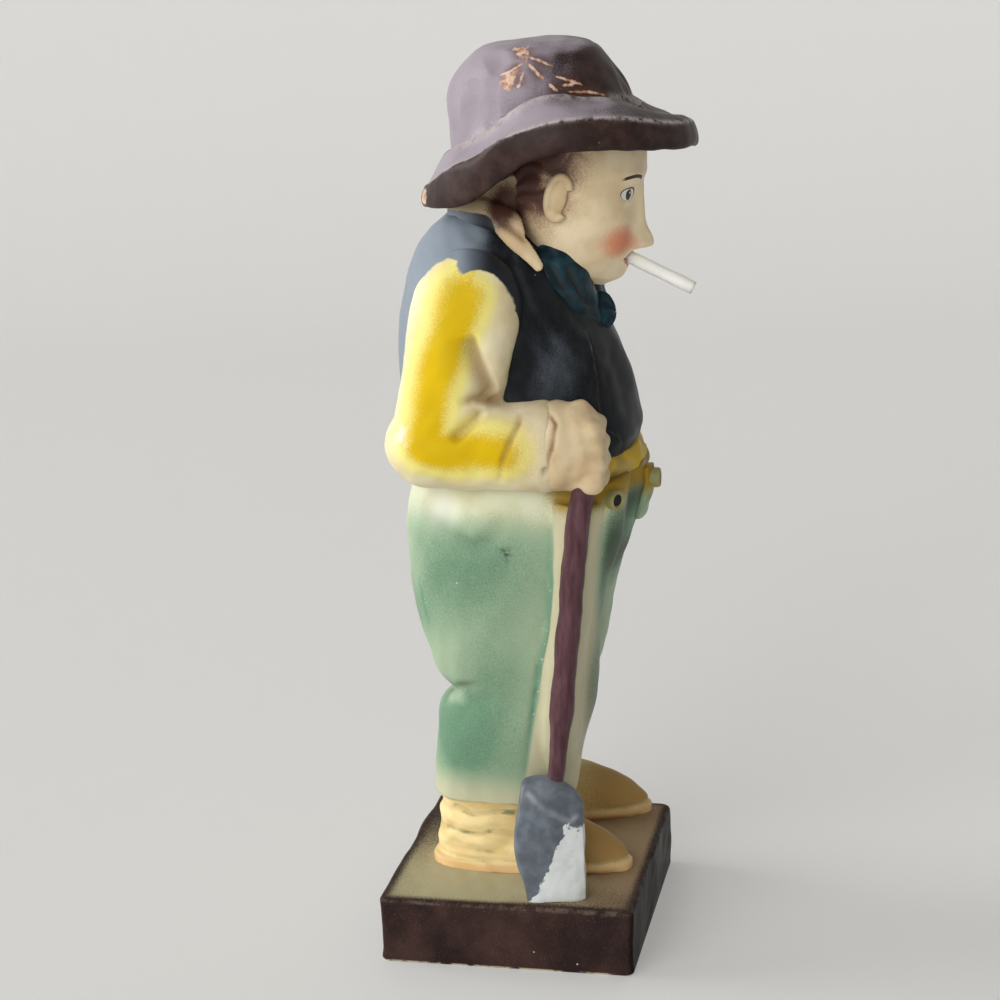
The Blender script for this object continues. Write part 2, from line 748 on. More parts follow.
def boot_lumps():
    """Shaft, upper and sole, with the ankle over the origin and the toe towards -Y."""
    rows = np.array([
        (0, 0.5, -0.9, 1), (0.4, 0.48, -0.9, 0.96), (0.75, 0.46, -0.82, 0.91), (1, 0.46, -0.74, 0.86)])
    shaft = stack(rows * [1, BOOT_WIDTH, HEEL, HEEL], SOLE / 2, HEM - GROUND + 1.5, rings=60, sides=120)
    at = np.linspace(0, 1, 70)
    rows = [
        (0, INSTEP, BOOT_WIDTH / 2), (0.45, INSTEP, BOOT_WIDTH / 2),
        (0.75, (INSTEP + TOE_HEIGHT) / 2, TOE_WIDTH * 0.535), (1, TOE_HEIGHT, TOE_WIDTH / 2)]
    high, wide = smooth_rows(rows, at).T[:, :, None]
    tip = round_ends(at, 0, 0.28)[:, None]
    u = turns(96)[None]
    reach = np.sin(u)
    z = np.where(reach > 0, reach * (high - SOLE / 2) * (0.35 + 0.65 * tip), reach * SOLE * 0.4)
    y = np.broadcast_to(-at[:, None] * (TOE - LIP), z.shape)
    upper = np.stack([wide * tip * np.cos(u), y, SOLE / 2 + z], -1)
    half = TOE_WIDTH / 2 + (BOOT_WIDTH - TOE_WIDTH) / 2 * np.minimum(1, 1 + reach) + LIP
    long = np.where(reach < 0, TOE, HEEL + LIP)
    oval = np.concatenate([half * full(np.cos(u), SOLE_SQUARE), long * reach]).T
    sole = np.stack([np.c_[oval, np.full(len(oval), z)] for z in np.linspace(0, SOLE, 8)])
    return shaft, upper, sole


def turned(points, angle, a, b):
    """Points turned about an axis through the origin: coordinates a and b become a cos - b sin and
    a sin + b cos."""
    points = np.array(points, float)
    first, second = points[..., a].copy(), points[..., b].copy()
    points[..., a] = first * np.cos(angle) - second * np.sin(angle)
    points[..., b] = first * np.sin(angle) + second * np.cos(angle)
    return points


def stand_boot(grid, side):
    """Turns a boot's form outwards and stands it on the plinth under its leg."""
    return turned(grid, TOE_OUT[side], 0, 1) + [ANKLE_X[side], ANKLE_Y, GROUND - SUNK]


print("a boot is", len(boot_lumps()), "lumps")


# %% Boots and their paint
def boot_finish():
    """Pale tan rubbed over ochre, darker over the toe, with an orange line at the sole."""
    finish = Finish("boot_paint")
    tan = finish.mottled("#f0d99f", "#e8cc8c", 7.0, 0.38, 0.66, stretch=(1.0, 1.0, 1.8))
    tan = finish.coats(tan, ("#b08c52", "toe", 1.0, 0.5))
    moss = finish.mask("crease") * finish.clouds(9.0, 0.42, 0.66, 4.0, 0.6, stretch=(1.0, 1.0, 2.0))
    tan = finish.spray(tan, "#8f9460", moss, grain=0.5)
    colour = finish.coats(tan, ("#dfa873", "sole", 0.5))
    return aged(finish, colour, 0.55, dirt=0.3, flecks=0.4, grain=0.08, gloss=0.2)


WRINKLE = 7.4  # from one ankle ring to the next
boot_paint = boot_finish()
for side in SIDES:
    lumps = [stand_boot(grid, side) for grid in boot_lumps()]
    boot = Casting("boot_skin_" + side, *lumps, cube=0.55, rounds=8)
    place = boot.points
    height = place[:, 2] - GROUND
    back = step(place[:, 1], ANKLE_Y - 20, ANKLE_Y - 8)
    wave = np.sin(2 * np.pi * (height + 1.1 * swell(place, 16, 5)) / WRINKLE)
    band = step(height, 5, 8) * step(height, 27, 23) * back
    boot.press(band * (0.45 * wave + 0.1 * swell(place, 6, 6)) + 0.12 * swell(place, 9, 7))
    above_welt = height - SOLE - 0.6
    boot.press(-0.45 * hump(above_welt, 0.7))
    boot.mask("crease", band * step(-wave, 0.4, 1.0) * 0.8 + hump(above_welt, 0.8) * 0.5)
    boot.mask("toe", step(place[:, 1], ANKLE_Y - 14, ANKLE_Y - 34) * step(height, 2, 6))
    boot.mask("sole", step(height, SOLE + 0.4, SOLE - 0.8))
    boot.done(boot_paint, "boot_tan", "boot_" + side)

# %% [markdown]
# ## Trousers
#
# Two baggy legs, the belly between them and the web that carries the axe haft were one casting. Simulated
# cloth would fold more finely than a mould can, so we fuse four lumps and press a few broad folds in: a
# crease behind each knee, a V of pulled cloth under the elbow, a line along the web. The paint is green
# airbrush over cream, deepest below the knee and under the folds.

# %% Legs, belly and web
LEG_WIDTH = 35.0
FULLNESS = 2.3
BELLY_FRONT = -TROUSERS[0, 1]
SEAT_BACK = 34.0
HIP_X = 17.0
CROTCH = 55.0  # above the hem
KNEE = 0.34
GRIP_TOP = np.array([MIDDLE - 37.0, -27.1, WAIST + 14.6])
HAFT_FOOT = np.array([AXE[:, 0].mean(), AXE[:, 1].mean() - 1.0, AXE[1, 2] - 9.0])
HAFT_WIDE, HAFT_THICK = 7.4, 7.6
WEB_REACH, WEB_WIDE = 22.0, 17.6
BUTTON_DROP = 4.4  # of the buttons' middles, below the waist
LEFT_TUCK = 9.0  # the left leg's front hangs this much further back at the hem
LEAN_END = 0.62  # share of a leg's height at which it is over the hip
LEG_RINGS, LEG_SIDES, BELLY_RINGS, WEB_RINGS = 110, 150, 60, 60


def cloth(rows):
    """Rows of shares as half widths, fronts and backs of the trousers."""
    return np.asarray(rows) * [1, LEG_WIDTH, BELLY_FRONT, SEAT_BACK]


def leg(side):
    """One leg from hem to waist; its middle leans in from over the boot to the hip."""
    rows = cloth([
        (0, 0.48, -0.42, 0.84), (0.12, 0.5, -0.47, 0.82), (KNEE - 0.06, 0.53, -0.59, 0.76),
        (KNEE, 0.54, -0.62, 0.62), (KNEE + 0.06, 0.56, -0.64, 0.76), (0.53, 0.59, -0.66, 0.9),
        (0.69, 0.59, -0.76, 0.98), (0.85, 0.56, -0.88, 1), (1, 0.5, -0.92, 0.92)])
    hip = MIDDLE + SIDES[side] * HIP_X
    lean = np.minimum(1, np.linspace(0, 1, LEG_RINGS) / LEAN_END)
    if side == "left":
        rows[:, 2] += LEFT_TUCK * (1 - np.minimum(1, rows[:, 0] / LEAN_END))
    x = ANKLE_X[side] + (hip - ANKLE_X[side]) * lean
    return stack(rows, HEM, WAIST + 1, LEG_RINGS, LEG_SIDES, FULLNESS, x)


def haft_line(share):
    """Points on the middle line of the haft, from its foot in the axe head to its top in the fist."""
    return HAFT_FOOT + np.asarray(share, float)[:, None] * (GRIP_TOP - HAFT_FOOT)


def web():
    """The rib between haft and leg, which runs out into the leg at its foot."""
    top = (WAIST - BUTTON_DROP - HAFT_FOOT[2]) / (GRIP_TOP - HAFT_FOOT)[2]
    at = np.linspace(0, 1, WEB_RINGS)
    share, reach = smooth_rows([(0, 0.08, 1), (0.5, 0.3, 0.55), (1, top, 0.5)], at).T
    path = haft_line(share) + np.stack([WEB_REACH * reach, 0 * reach + HAFT_WIDE * 0.35, 0 * reach], 1)
    return tube(path, WEB_REACH / 2, WEB_WIDE / 2 * np.linspace(0.75, 1, WEB_RINGS), sides=80)


belly = cloth([
    (0, 0.2, -0.3, 0.6), (0.3, 0.56, -0.7, 0.95), (0.65, 0.7, -0.92, 1.06), (0.88, 0.7, -1, 1.03),
    (1, 0.66, -0.98, 0.98)])
trousers = Casting(
    "trouser_skin", leg("right"), leg("left"),
    stack(belly, HEM + CROTCH, WAIST + 1, BELLY_RINGS, LEG_SIDES, FULLNESS, MIDDLE), web(),
    cube=0.75, rounds=16)
print("the fused trousers have", len(trousers.mesh.vertices), "points")

# %% Folds in the trousers
KNEE_CREASE = [(447, 685), (462, 687), (484, 681)]
KNEE_SHELF = [(448, 697), (470, 698)]
V_FOLD = [(424, 512), (446, 530), (474, 545), (494, 534), (508, 515)]
SEAT_SEAM = [(420, 575), (424, 600), (430, 628)]
WEB_EDGE = [(551, 510), (551, 545), (550, 582), (545, 632), (539, 670), (532, 720), (525, 775)]
FRONT_FOLD = [(622, 590), (612, 640), (604, 690)]
PALE_DENT = [(442, 507)]
folds = {name: trousers.touch(line) for name, line in [
    ("knee", KNEE_CREASE), ("shelf", KNEE_SHELF), ("pull", V_FOLD), ("seam", SEAT_SEAM), ("web", WEB_EDGE),
    ("front", FRONT_FOLD), ("dent", PALE_DENT)]}
place = trousers.points


def pressed(name, width):
    """The stroke of a fold on the right leg, and of its mirror image on the left."""
    return twice(fold, place, folds[name], width)


knee, pull, web_line = pressed("knee", 1.6), pressed("pull", 2.6), fold(place, folds["web"], 0.9)
trousers.press(
    -1.3 * knee + 0.9 * pressed("shelf", 3.0) - 0.5 * pull - 0.8 * web_line - 0.35 * pressed("seam", 0.8)
    - 1.2 * pressed("front", 4.0) - 1.5 * spot(place, folds["dent"][0], [9, 9, 8])
    + 0.45 * swell(place, 30, 11) + 0.12 * swell(place, 9, 12))
print("folds pressed in:", list(folds))

# %% Where the trousers' colours lie
DEEP_GREEN = [(467, 722), (505, 560), (615, 565), (430, 600)]
SCUFF_STROKES = [
    [(496, 551), (512, 549)], [(499, 555), (513, 555)], [(503, 548), (508, 561)], [(504, 560), (511, 562)]]
STRIP_FRONT = 6.2  # how far the beige strip shows in front of the haft's middle
place = trousers.points
height = (place[:, 2] - HEM) / (WAIST - HEM)
near = step(place[:, 0], MIDDLE, MIDDLE - 16)
haft_y = np.interp(place[:, 2], *haft_line([0.0, 1.0])[:, [2, 1]].T)
web_y = np.interp(place[:, 2], *folds["web"][::-1][:, [2, 1]].T)
past_haft = haft_y - STRIP_FRONT - place[:, 1]
strip = step(place[:, 1], web_y + 0.6, web_y - 1.6) * step(past_haft, 2, -2) * near * step(height, 1.0, 0.97)
front = step(past_haft, -1, 4) * step(height, 0.0, 0.12) * step(height, 1.0, 0.9)
deep = trousers.touch(DEEP_GREEN)
green = (
    0.62 * step(height, 1.0, 0.82) + 0.12 * swell(place, 40, 13)
    + 0.5 * front + 0.45 * spot(place, deep[2], [14, 22, 16]) + 0.2 * spot(place, deep[3], [16, 14, 24])
    + 0.1 * pull - 0.3 * pressed("shelf", 3.0))
for mark, share, size in ((deep[0], 0.5, [30, 15, 16]), (deep[1], 0.25, [30, 15, 20])):
    green = green + share * twice(spot, place, mark, size)
trousers.mask("green", green)
trousers.mask("strip", strip + 0.75 * step(height, 0.16, 0.0))
trousers.mask("edge", web_line + 0.7 * pressed("seam", 1.0))
low_front = 0.55 * step(haft_y - 2.5 - place[:, 1], 0, 4) * step(height, 0.7, 0.35) * near
trousers.mask("front", np.maximum(front * (0.8 + 0.35 * swell(place, 24, 14)), low_front))
trousers.mask("dent", spot(place, folds["dent"][0], [8, 5.5, 5]))
scuffs = [fold(place, trousers.touch(line), 0.6, 0.4) for line in SCUFF_STROKES]
trousers.mask("scuff", np.max(scuffs, axis=0))
trousers.mask("crease", 0.8 * knee + 0.25 * pull)
trousers.mask("ochre", step(height, 0.90, 0.99) * step(place[:, 1], -8, -22))
print("green covers", round(100 * np.mean(green > 0.5)), "% of the trousers")


# %% Trouser paint
def trouser_finish():
    """Green sprayed over cream, a beige strip along the haft, a darker line in the web's groove."""
    finish = Finish("trouser_paint")
    green = finish.mask("green") * 1.5 + (finish.noise(14.0, 4.0) - 0.5) * 0.3
    ground = finish.mottled("#dcdfc2", "#d2d0a6", 22.0, 0.4, 0.65)
    colour = finish.spray(ground, "#9db394", green, grain=0.5)
    colour = finish.spray(colour, "#5a8468", green - 0.75, grain=0.6)
    colour = finish.coats(
        colour, ("#c9c3a1", "strip", 0.95, 0.4), ("#a08019", "ochre", 1.0, 0.5),
        ("#415440", "front", 1.0, 0.4), ("#5c927a", "edge", 0.85), ("#f0f1e4", "dent", 0.8))
    colour = finish.worn(colour, "#3c463e", "scuff", 1.0, 1.2, 0.35, 0.6)
    colour = finish.worn(colour, CHALK, "edge", 0.8, 1.8, 0.62, 0.68, 4.0, 0.6)
    return aged(finish, colour, 0.45, dirt=0.45, flecks=0.9, grain=0.07, gloss=0.25)


trousers.done(trouser_finish(), "trouser_green", "trousers")


# %% [markdown]
# ## Fly, buttons and the band of shirt
#
# Small forms laid on the belly, which a potter would press in moulds of their own and stick on with slip.
# To lay something on a skin we look for the skin's front at a height: among the points near a place, the
# one furthest forward.

# %% Fly
FLY_WIDTH, FLY_THICK, FLY_LENGTH = 8.0, 2.2, 18.0
BELLY_NEAR = 1.5  # how near a point of the belly has to be


def belly_at(x, z):
    """The point of the trousers' front nearest to a place given by x and height."""
    points = trousers.points[trousers.points[:, 1] < 0]
    near = (points[:, 0] - x) ** 2 + (points[:, 2] - z) ** 2 < BELLY_NEAR**2
    return np.array([x, points[near][:, 1].min(), z])


fly_line = np.array([belly_at(MIDDLE, z) for z in WAIST - FLY_LENGTH * np.linspace(0.03, 1.03, 6)])
at = np.linspace(0, 1, 60)
fly_path = smooth_rows(np.c_[np.linspace(0, 1, 6), fly_line], at)
fly_end = round_ends(at, 0, 0.25)
fly = Casting("fly_skin", tube(fly_path, FLY_WIDTH / 2 * fly_end, FLY_THICK * fly_end, 48))
fly.press(0.2 * swell(fly.points, 5, 21))
fly.mask("green", 0.5 + 0.3 * swell(fly.points, 9, 22))
fly.mask("ochre", step(fly.points[:, 2], WAIST - 14, WAIST - 3))
fly.done(bpy.data.materials["trouser_paint"], "trouser_green", "fly_flap")

# %% Buttons
BUTTON, BUTTON_THICK = 6.4, 2.6
BRACE_X = 27.0


def disc(centre, slope, rings=26, sides=64):
    """A button: a lathed profile with a dished middle, turned to the slope of the belly."""
    rows = np.array([
        (0, 0.02, -1), (0.22, 0.96, -1), (0.34, 1, -0.4), (0.5, 1, 0.45), (0.6, 0.9, 0.78), (0.7, 0.74, 0.8),
        (0.8, 0.56, 0.5), (0.9, 0.3, 0.3), (1, 0.02, 0.28)]) * [1, BUTTON / 2, BUTTON_THICK]
    out, up = smooth_rows(rows, np.linspace(0, 1, rings)).T[:, :, None]
    u = turns(sides)[None]
    lathed = np.stack([out * np.cos(u), np.broadcast_to(-up, (rings, sides)), out * np.sin(u)], -1)
    return turned(lathed, np.arctan(slope), 0, 1) + centre


def button_finish():
    """A pale cast rim with dark paint run into the dished middle."""
    finish = Finish("button_paint")
    rim = finish.mix("#a3955c", "#8d9468", finish.noise(3.0))
    colour = finish.brush(rim, "#171410", finish.mask("dish"), ragged=0.5, size=1.2)
    return aged(finish, colour, 0.45, dirt=0.3, grain=0.04)


button_paint = button_finish()
for name, x in {"fly_button": 0.0, "brace_button_right": -BRACE_X, "brace_button_left": BRACE_X}.items():
    z = WAIST - BUTTON_DROP
    left, right = belly_at(MIDDLE + x - BUTTON / 2, z), belly_at(MIDDLE + x + BUTTON / 2, z)
    centre = (left + right) / 2 - [0, FLY_THICK if x == 0 else 0.3, 0]
    button = Casting(name + "_skin", disc(centre, (right - left)[1] / BUTTON))
    radius = np.linalg.norm(button.points - centre, axis=1)
    button.mask("dish", step(radius, BUTTON * 0.43, BUTTON * 0.27))
    button.done(button_paint, "button_dark", name)

# %% Band of shirt
VEST_WIDE = 74.0
GATHERS = 11
TORSO_SIDES = 260


def vest_lap(finish, colour):
    """The vest's slate, lapping raggedly over a piece next to it: pale where the mask 'high' is."""
    slate = finish.mix("#23262b", "#8b95a0", finish.mask("high"))
    return finish.brush(colour, slate, finish.mask("vest_edge"), ragged=0.3, size=5.0)


def shirt_finish():
    """Yellow airbrush over cream, with brown in the creases. It serves the sleeves too."""
    finish = Finish("shirt_paint")
    ground = finish.mottled("#f2e7c6", "#e6d6ac", 18.0, 0.4, 0.65)
    cloud = (finish.noise(10.0, 4.0) - 0.5) * 0.3
    yellow = finish.mask("yellow")
    colour = finish.spray(ground, "#f5e788", yellow * 2.2 + cloud, grain=0.4)
    colour = finish.spray(colour, "#dfb902", yellow * 1.7 - 0.62 + cloud, grain=0.7)
    colour = vest_lap(finish, finish.coats(colour, ("#a58659", "shade", 0.9, 0.2)))
    colour = finish.worn(colour, "#efe7d6", "chip", 1.0, 2.4, 0.42, 0.55, 4.0, 0.6)
    return aged(finish, colour, 0.55, dirt=0.5, flecks=0.35, grain=0.1, gloss=0.15)


shirt_paint = shirt_finish()
shirt_rows = np.asarray([(0, 0.45, -0.93, 0.86), (0.5, 0.465, -0.975, 0.9), (1, 0.45, -0.93, 0.86)])
shirt_rows = shirt_rows * [1, VEST_WIDE, BELLY_FRONT, SEAT_BACK]
shirt_form = stack(shirt_rows, WAIST - 1, SHIRT[1, 2] + 1, 30, TORSO_SIDES, FULLNESS, MIDDLE)
shirt = Casting("shirt_skin", shirt_form)
around = np.arctan2(shirt.points[:, 1], shirt.points[:, 0] - MIDDLE)
gather = np.sin(GATHERS * around + 3 * swell(shirt.points, 18, 23))
shirt.press(0.35 * gather + 0.2 * swell(shirt.points, 12, 24))
shirt.mask("yellow", 0.8 + 0.2 * swell(shirt.points, 16, 25))
shirt.mask("shade", 0.2 * step(-gather, 0.2, 1) + 0.4)
shirt.mask("crease", 0.4 * step(-gather, 0.5, 1))
shirt.done(shirt_paint, "shirt_yellow", "shirt_band")

# %% [markdown]
# ## The vest
#
# The vest is the torso itself, round in front and stooped behind. Its right front laps over the left, and a
# rolled lapel runs from the neck to a point. A shell of cloth over a body would show two edges that the
# casting does not have, so it is one stack of ovals whose skin steps down across the lap and rises at the
# lapel. The paint is a dark slate, pale over the shoulders and the back.

# %% Form of the vest
VEST_FRONT, VEST_BACK = 39.0, 37.0
vest_rows = np.asarray([
    (0, 0.475, -0.94, 0.9), (0.07, 0.5, -1, 0.94), (0.17, 0.5, -0.97, 0.97), (0.3, 0.5, -0.92, 1),
    (0.5, 0.49, -0.76, 0.99), (0.68, 0.47, -0.6, 0.93), (0.82, 0.42, -0.46, 0.85), (0.93, 0.32, -0.28, 0.72),
    (1, 0.2, -0.1, 0.56)]) * [1, VEST_WIDE, VEST_FRONT, VEST_BACK]
vest = Casting("vest_skin", stack(vest_rows, VEST[0, 2], VEST[1, 2], 190, TORSO_SIDES, FULLNESS, MIDDLE))
print("the vest is", round(VEST[1, 2] - VEST[0, 2], 1), "mm high")

# %% Lapels, lap and folds of the vest
LAPEL_EDGE = [(506, 236), (518, 272), (534, 310), (556, 344), (583, 369)]
FRONT_EDGE = [(584, 330), (591, 352), (597, 397), (602, 430), (606, 459)]
SIDE_FOLD = [(548, 396), (556, 372), (566, 352)]
SHOULDER_FOLD = [(470, 226), (486, 246), (500, 262)]
LAPEL_WIDE, LAPEL_RISE = 13.0, 1.1
SHEEN_WAY = [-0.15, 0.55, 0.75]  # the paint is palest where it faces this way
lapel, front_edge, side_fold, shoulder = (
    vest.touch(line) for line in (LAPEL_EDGE, FRONT_EDGE, SIDE_FOLD, SHOULDER_FOLD))
place, normal = vest.points, vest.normals


def raised(line, sign):
    """The band of cloth on one side of a line, from the line to LAPEL_WIDE beyond it."""
    gap, along = beside(place, normal, line)
    gap = gap * sign
    return step(gap, -1.6, 1.8) * step(gap, LAPEL_WIDE, 0.5 * LAPEL_WIDE) * ends(along, 0.15)


edge_gap, edge_along = beside(place, normal, front_edge)
near_edge = ends(edge_along, 0.06)
lap = step(edge_gap, 0.35, -0.35) * step(edge_gap, -9, -3) * near_edge
line_stroke = np.exp(-((edge_gap - 0.5) ** 2) / 0.5) * near_edge
vest.press(
    LAPEL_RISE * (raised(lapel, 1) + raised(other_side(lapel), -1)) + 0.9 * lap - 0.4 * line_stroke
    + 1.2 * twice(fold, place, side_fold, 4.0) - twice(fold, place, shoulder, 3.0)
    + 0.45 * swell(place, 24, 32) + 0.08 * swell(place, 7, 33))
place = vest.points
hem = place[:, 2] - VEST[0, 2]
vest.press(0.5 * hump(hem - 1.5, 1.2))
vest.mask("crease", 0.7 * line_stroke)
vest.mask("worn", 0.9 * hump(edge_gap + 0.2, 0.5) * near_edge + 0.7 * step(hem, 1.6, 0.4))
lapel_gap = np.linalg.norm(follow(place, lapel)[0], axis=1)
behind = step(place[:, 1], -1, 11)
vest.mask("high", step(normal @ SHEEN_WAY, 0.15, 0.68) * behind
          + 0.3 * spot(place, side_fold[1], [12, 8, 14]) + 0.06 * hump(lapel_gap, 2.2))
print("the lap's edge is", round(np.linalg.norm(np.diff(front_edge, axis=0), axis=1).sum(), 1), "mm long")


# %% Vest paint
def vest_finish():
    """Slate black brushed on, rubbed paler over the shoulders and along the edges."""
    finish = Finish("vest_paint")
    streaks = finish.noise(6.0, 5.0, 0.6, stretch=(1.0, 1.0, 0.45))
    colour = finish.mix("#141618", "#212428", finish.rise(streaks, 0.35, 0.7))
    bloom = finish.mask("high") + (streaks - 0.5) * 0.3
    colour = finish.spray(colour, "#8b95a0", bloom * 0.95, grain=0.2)
    colour = finish.worn(colour, "#8b8d8e", "worn", 0.6, 4.0, 0.5, 0.62, 5.0, 0.7)
    return aged(finish, colour, 0.34 + 0.2 * streaks, dirt=0.4, flecks=0.35, grain=0.06, gloss=0.1)


vest.done(vest_finish(), "vest_black", "vest")

# %% [markdown]
# ## Sleeves and hands
#
# A sleeve is a bent arm of cloth: an upper arm from the shoulder, a level forearm and a cuff, fused.
# Creases fan out from the inside of the elbow. One tube bent at the elbow would pinch there; three lumps
# keep their fullness, and the creases are pressed in after. The yellow was sprayed along the outside of the
# arm and faded out, and vest paint laps raggedly over the shoulder. The fists are a palm, four rolled
# fingers and a thumb.

# %% Form of a sleeve
SHOULDER = np.array([31.0, 6.0, VEST[1, 2] - 6.3])
FIST_Z = WAIST + 14.6
ELBOW = np.array([36.0, 21.0, FIST_Z])
WRIST = {"right": np.array([35.0, -16.0, FIST_Z]), "left": np.array([35.0, -3.0, FIST_Z - 12.0])}
ARM_THICK, UPPER_DEPTH, FOREARM, CUFF = 25.0, 35.0, 28.0, 9.0
ARM_RINGS, CUFF_RINGS, ARM_SIDES = 90, 20, 120


def mirror(point, side):
    """A place given for an arm, as x from the middle plane, on its own side of the figure."""
    return np.asarray(point) * [SIDES[side], 1, 1] + [MIDDLE, 0, 0]


def sleeve_lumps(side):
    """Upper arm, forearm and cuff of one sleeve."""
    at = gathered(ARM_RINGS)
    t = at[:, None]
    bend = np.array([ELBOW[0], SHOULDER[1] + 0.2 * (ELBOW - SHOULDER)[1], (VEST[1, 2] + FIST_Z) / 2])
    foot = ELBOW - [0, 0, FOREARM / 2]
    upper = (1 - t) ** 2 * SHOULDER + 2 * t * (1 - t) * bend + t**2 * foot
    whole = round_ends(at, 0.34, 0.24)
    wrist = WRIST[side]
    way = (wrist - ELBOW) / np.linalg.norm(wrist - ELBOW)
    heel = ELBOW - way * FOREARM / 2
    lower = heel + t * (wrist + way * 1.5 - heel)
    ball = round_ends(at, 0.3, 0)
    cuff = wrist + way * np.linspace(-CUFF, 0.8, CUFF_RINGS)[:, None]
    flare, tuck = np.linspace(0, 1, CUFF_RINGS), np.clip(np.linspace(-7, 1, CUFF_RINGS), 0, 1)
    lip = 0.35 * np.sqrt(flare) - 1.3 * tuck**2
    return (
        tube(mirror(upper, side), ARM_THICK / 2 * whole, UPPER_DEPTH / 2 * (1 - 0.1 * at) * whole, ARM_SIDES),
        tube(mirror(lower, side), ARM_THICK / 2 * ball, FOREARM / 2 * ball, ARM_SIDES),
        tube(mirror(cuff, side), ARM_THICK / 2 + lip, FOREARM / 2 + lip, ARM_SIDES))


print("a sleeve is", len(sleeve_lumps("right")), "lumps, bent at", ELBOW, "mm")

# %% Sleeves, their creases and paint
ELBOW_V = [(471, 333), (481, 360), (489, 378), (497, 394)]
ELBOW_FOLD = [(457, 406), (475, 401), (490, 402), (503, 400)]
SECOND_FOLD = [(485, 409), (476, 421), (464, 433), (452, 443)]
THIRD_FOLD = [(521, 409), (518, 424), (510, 442), (503, 460), (499, 485)]
CUFF_LINE = [(547, 411), (556, 424), (552, 448), (545, 470), (537, 493)]
YELLOW_UPPER = [(467, 296), (461, 314), (447, 348), (438, 382), (430, 412), (426, 434)]
YELLOW_LOWER = [(424, 446), (445, 452), (470, 450), (500, 453)]
VEST_LAP = [
    (425, 277), (436, 264), (447, 258), (456, 261), (462, 275), (470, 271), (480, 270), (494, 275),
    (505, 286), (512, 298), (516, 312)]
ELBOW_CHIP = [(400, 436)]
SLEEVE_LINES = [
    ELBOW_V, ELBOW_FOLD, SECOND_FOLD, THIRD_FOLD, CUFF_LINE, YELLOW_UPPER, YELLOW_LOWER, VEST_LAP, ELBOW_CHIP]
for side in SIDES:
    sleeve = Casting("sleeve_skin_" + side, *sleeve_lumps(side), cube=0.6, rounds=18)
    if side == "right":
        lines = [sleeve.touch(line) for line in SLEEVE_LINES]
    else:
        lines = [other_side(line) for line in lines]
    place, normal = sleeve.points, sleeve.normals
    vee, elbow, second, third, cuff_line, upper, lower, lap_line, chip = lines
    tight, loose = (0.9, 5.0) if side == "right" else (5.0, 0.9)
    creases = (
        2.3 * crease(place, normal, vee, tight, loose, 0.12)
        + 2.0 * crease(place, normal, elbow, loose / 2, tight)
        + 1.6 * crease(place, normal, second, tight, loose / 2, 0.15) + 1.3 * fold(place, third, 0.9, 0.15)
        + 1.2 * fold(place, cuff_line, 0.8, 0.1))
    puffs = fold(place, vee - [0, 5.5, 0], 4.0) + fold(place, (elbow + second) / 2 - [0, 2, 4], 4.0)
    sleeve.press(0.9 * puffs - creases + 0.35 * swell(place, 20, 41) + 0.1 * swell(place, 6, 42))
    place = sleeve.points
    inner, outer = (7.5, 11.0) if side == "right" else (11.0, 7.5)
    yellow = np.maximum(crease(place, normal, upper, inner, outer, 0), fold(place, lower, 8.5, 0))
    sleeve.mask("yellow", yellow * (1 + 0.1 * swell(place, 18, 43)))
    sleeve.mask("shade", 0.25 * creases + 0.16 * fold(place, vee + [0, 2.5, 0], 5.0, 0.3)
                + 0.5 * fold(place, elbow[2:], 3.5, 0) + 0.42 * step(place[:, 1], 3, -12))
    sleeve.mask("crease", 0.2 * creases)
    sleeve.mask("high", step(place[:, 1], -1, 11))
    inward = np.maximum(0, abs(lap_line[-1, 0] - MIDDLE) - abs(place[:, 0] - MIDDLE))
    sleeve.mask("vest_edge", 0.5 + 0.25 * (place[:, 2] - height_along(place, lap_line) + 2.5 * inward))
    sleeve.mask("chip", 0.9 * spot(place, chip[0], [6, 2.4, 4]))
    sleeve.done(shirt_paint, "shirt_yellow", "sleeve_" + side)

# %% Form of a fist
FIST_WIDE, FIST_HIGH, FIST_DEEP, FINGER = 19.0, 28.0, 18.5, 8.0


def fist_lumps(side):
    """Palm, four fingers one above another and the thumb, turned and moved to the end of the forearm."""
    knuckle = FINGER / 2 - FIST_DEEP
    lumps = [egg([0, -FIST_DEEP * 0.42, 0], [FIST_WIDE * 0.54, FIST_DEEP * 0.56, FIST_HIGH / 2]),
             egg([0, -FIST_DEEP * 0.12, 0], [FIST_WIDE * 0.66, FIST_DEEP * 0.62, FIST_HIGH * 0.505])]
    for k in range(4):
        z = (FINGER - FIST_HIGH) / 2 + k * (FIST_HIGH - FINGER) / 3.8
        y = knuckle + FINGER * 0.07 * abs(k - 1.4)
        lumps.append(pill([FIST_WIDE * 0.22, y, z], [-FIST_WIDE * 0.22, y, z], FINGER / 2))
    top = FIST_HIGH / 2 - FINGER * 0.4
    root, tip = [SIDES[side], -FIST_DEEP * 0.16, top - FINGER / 4], [0, knuckle + FINGER * 0.62, top]
    lumps.append(pill(root, tip, FINGER * 0.48))
    arm = ELBOW - WRIST[side]
    return [turned(lump, np.arctan2(arm[2], arm[1]), 1, 2) + mirror(WRIST[side], side) for lump in lumps]


print("a fist is", len(fist_lumps("right")), "lumps")


# %% Hands and flesh paint
def skin_finish():
    """Cream flesh paint with soft brown in the hollows; the hands, neck and ears."""
    finish = Finish("skin_paint")
    colour = finish.mottled("#e2cda5", "#d0b48a", 12.0, 0.38, 0.68)
    colour = finish.coats(colour, ("#9c7350", "shade", 0.8, 0.35), ("#553429", "hair", 1.0, 0.6))
    return aged(finish, vest_lap(finish, colour), 0.5, dirt=0.45, flecks=0.25, grain=0.06, gloss=0.3)


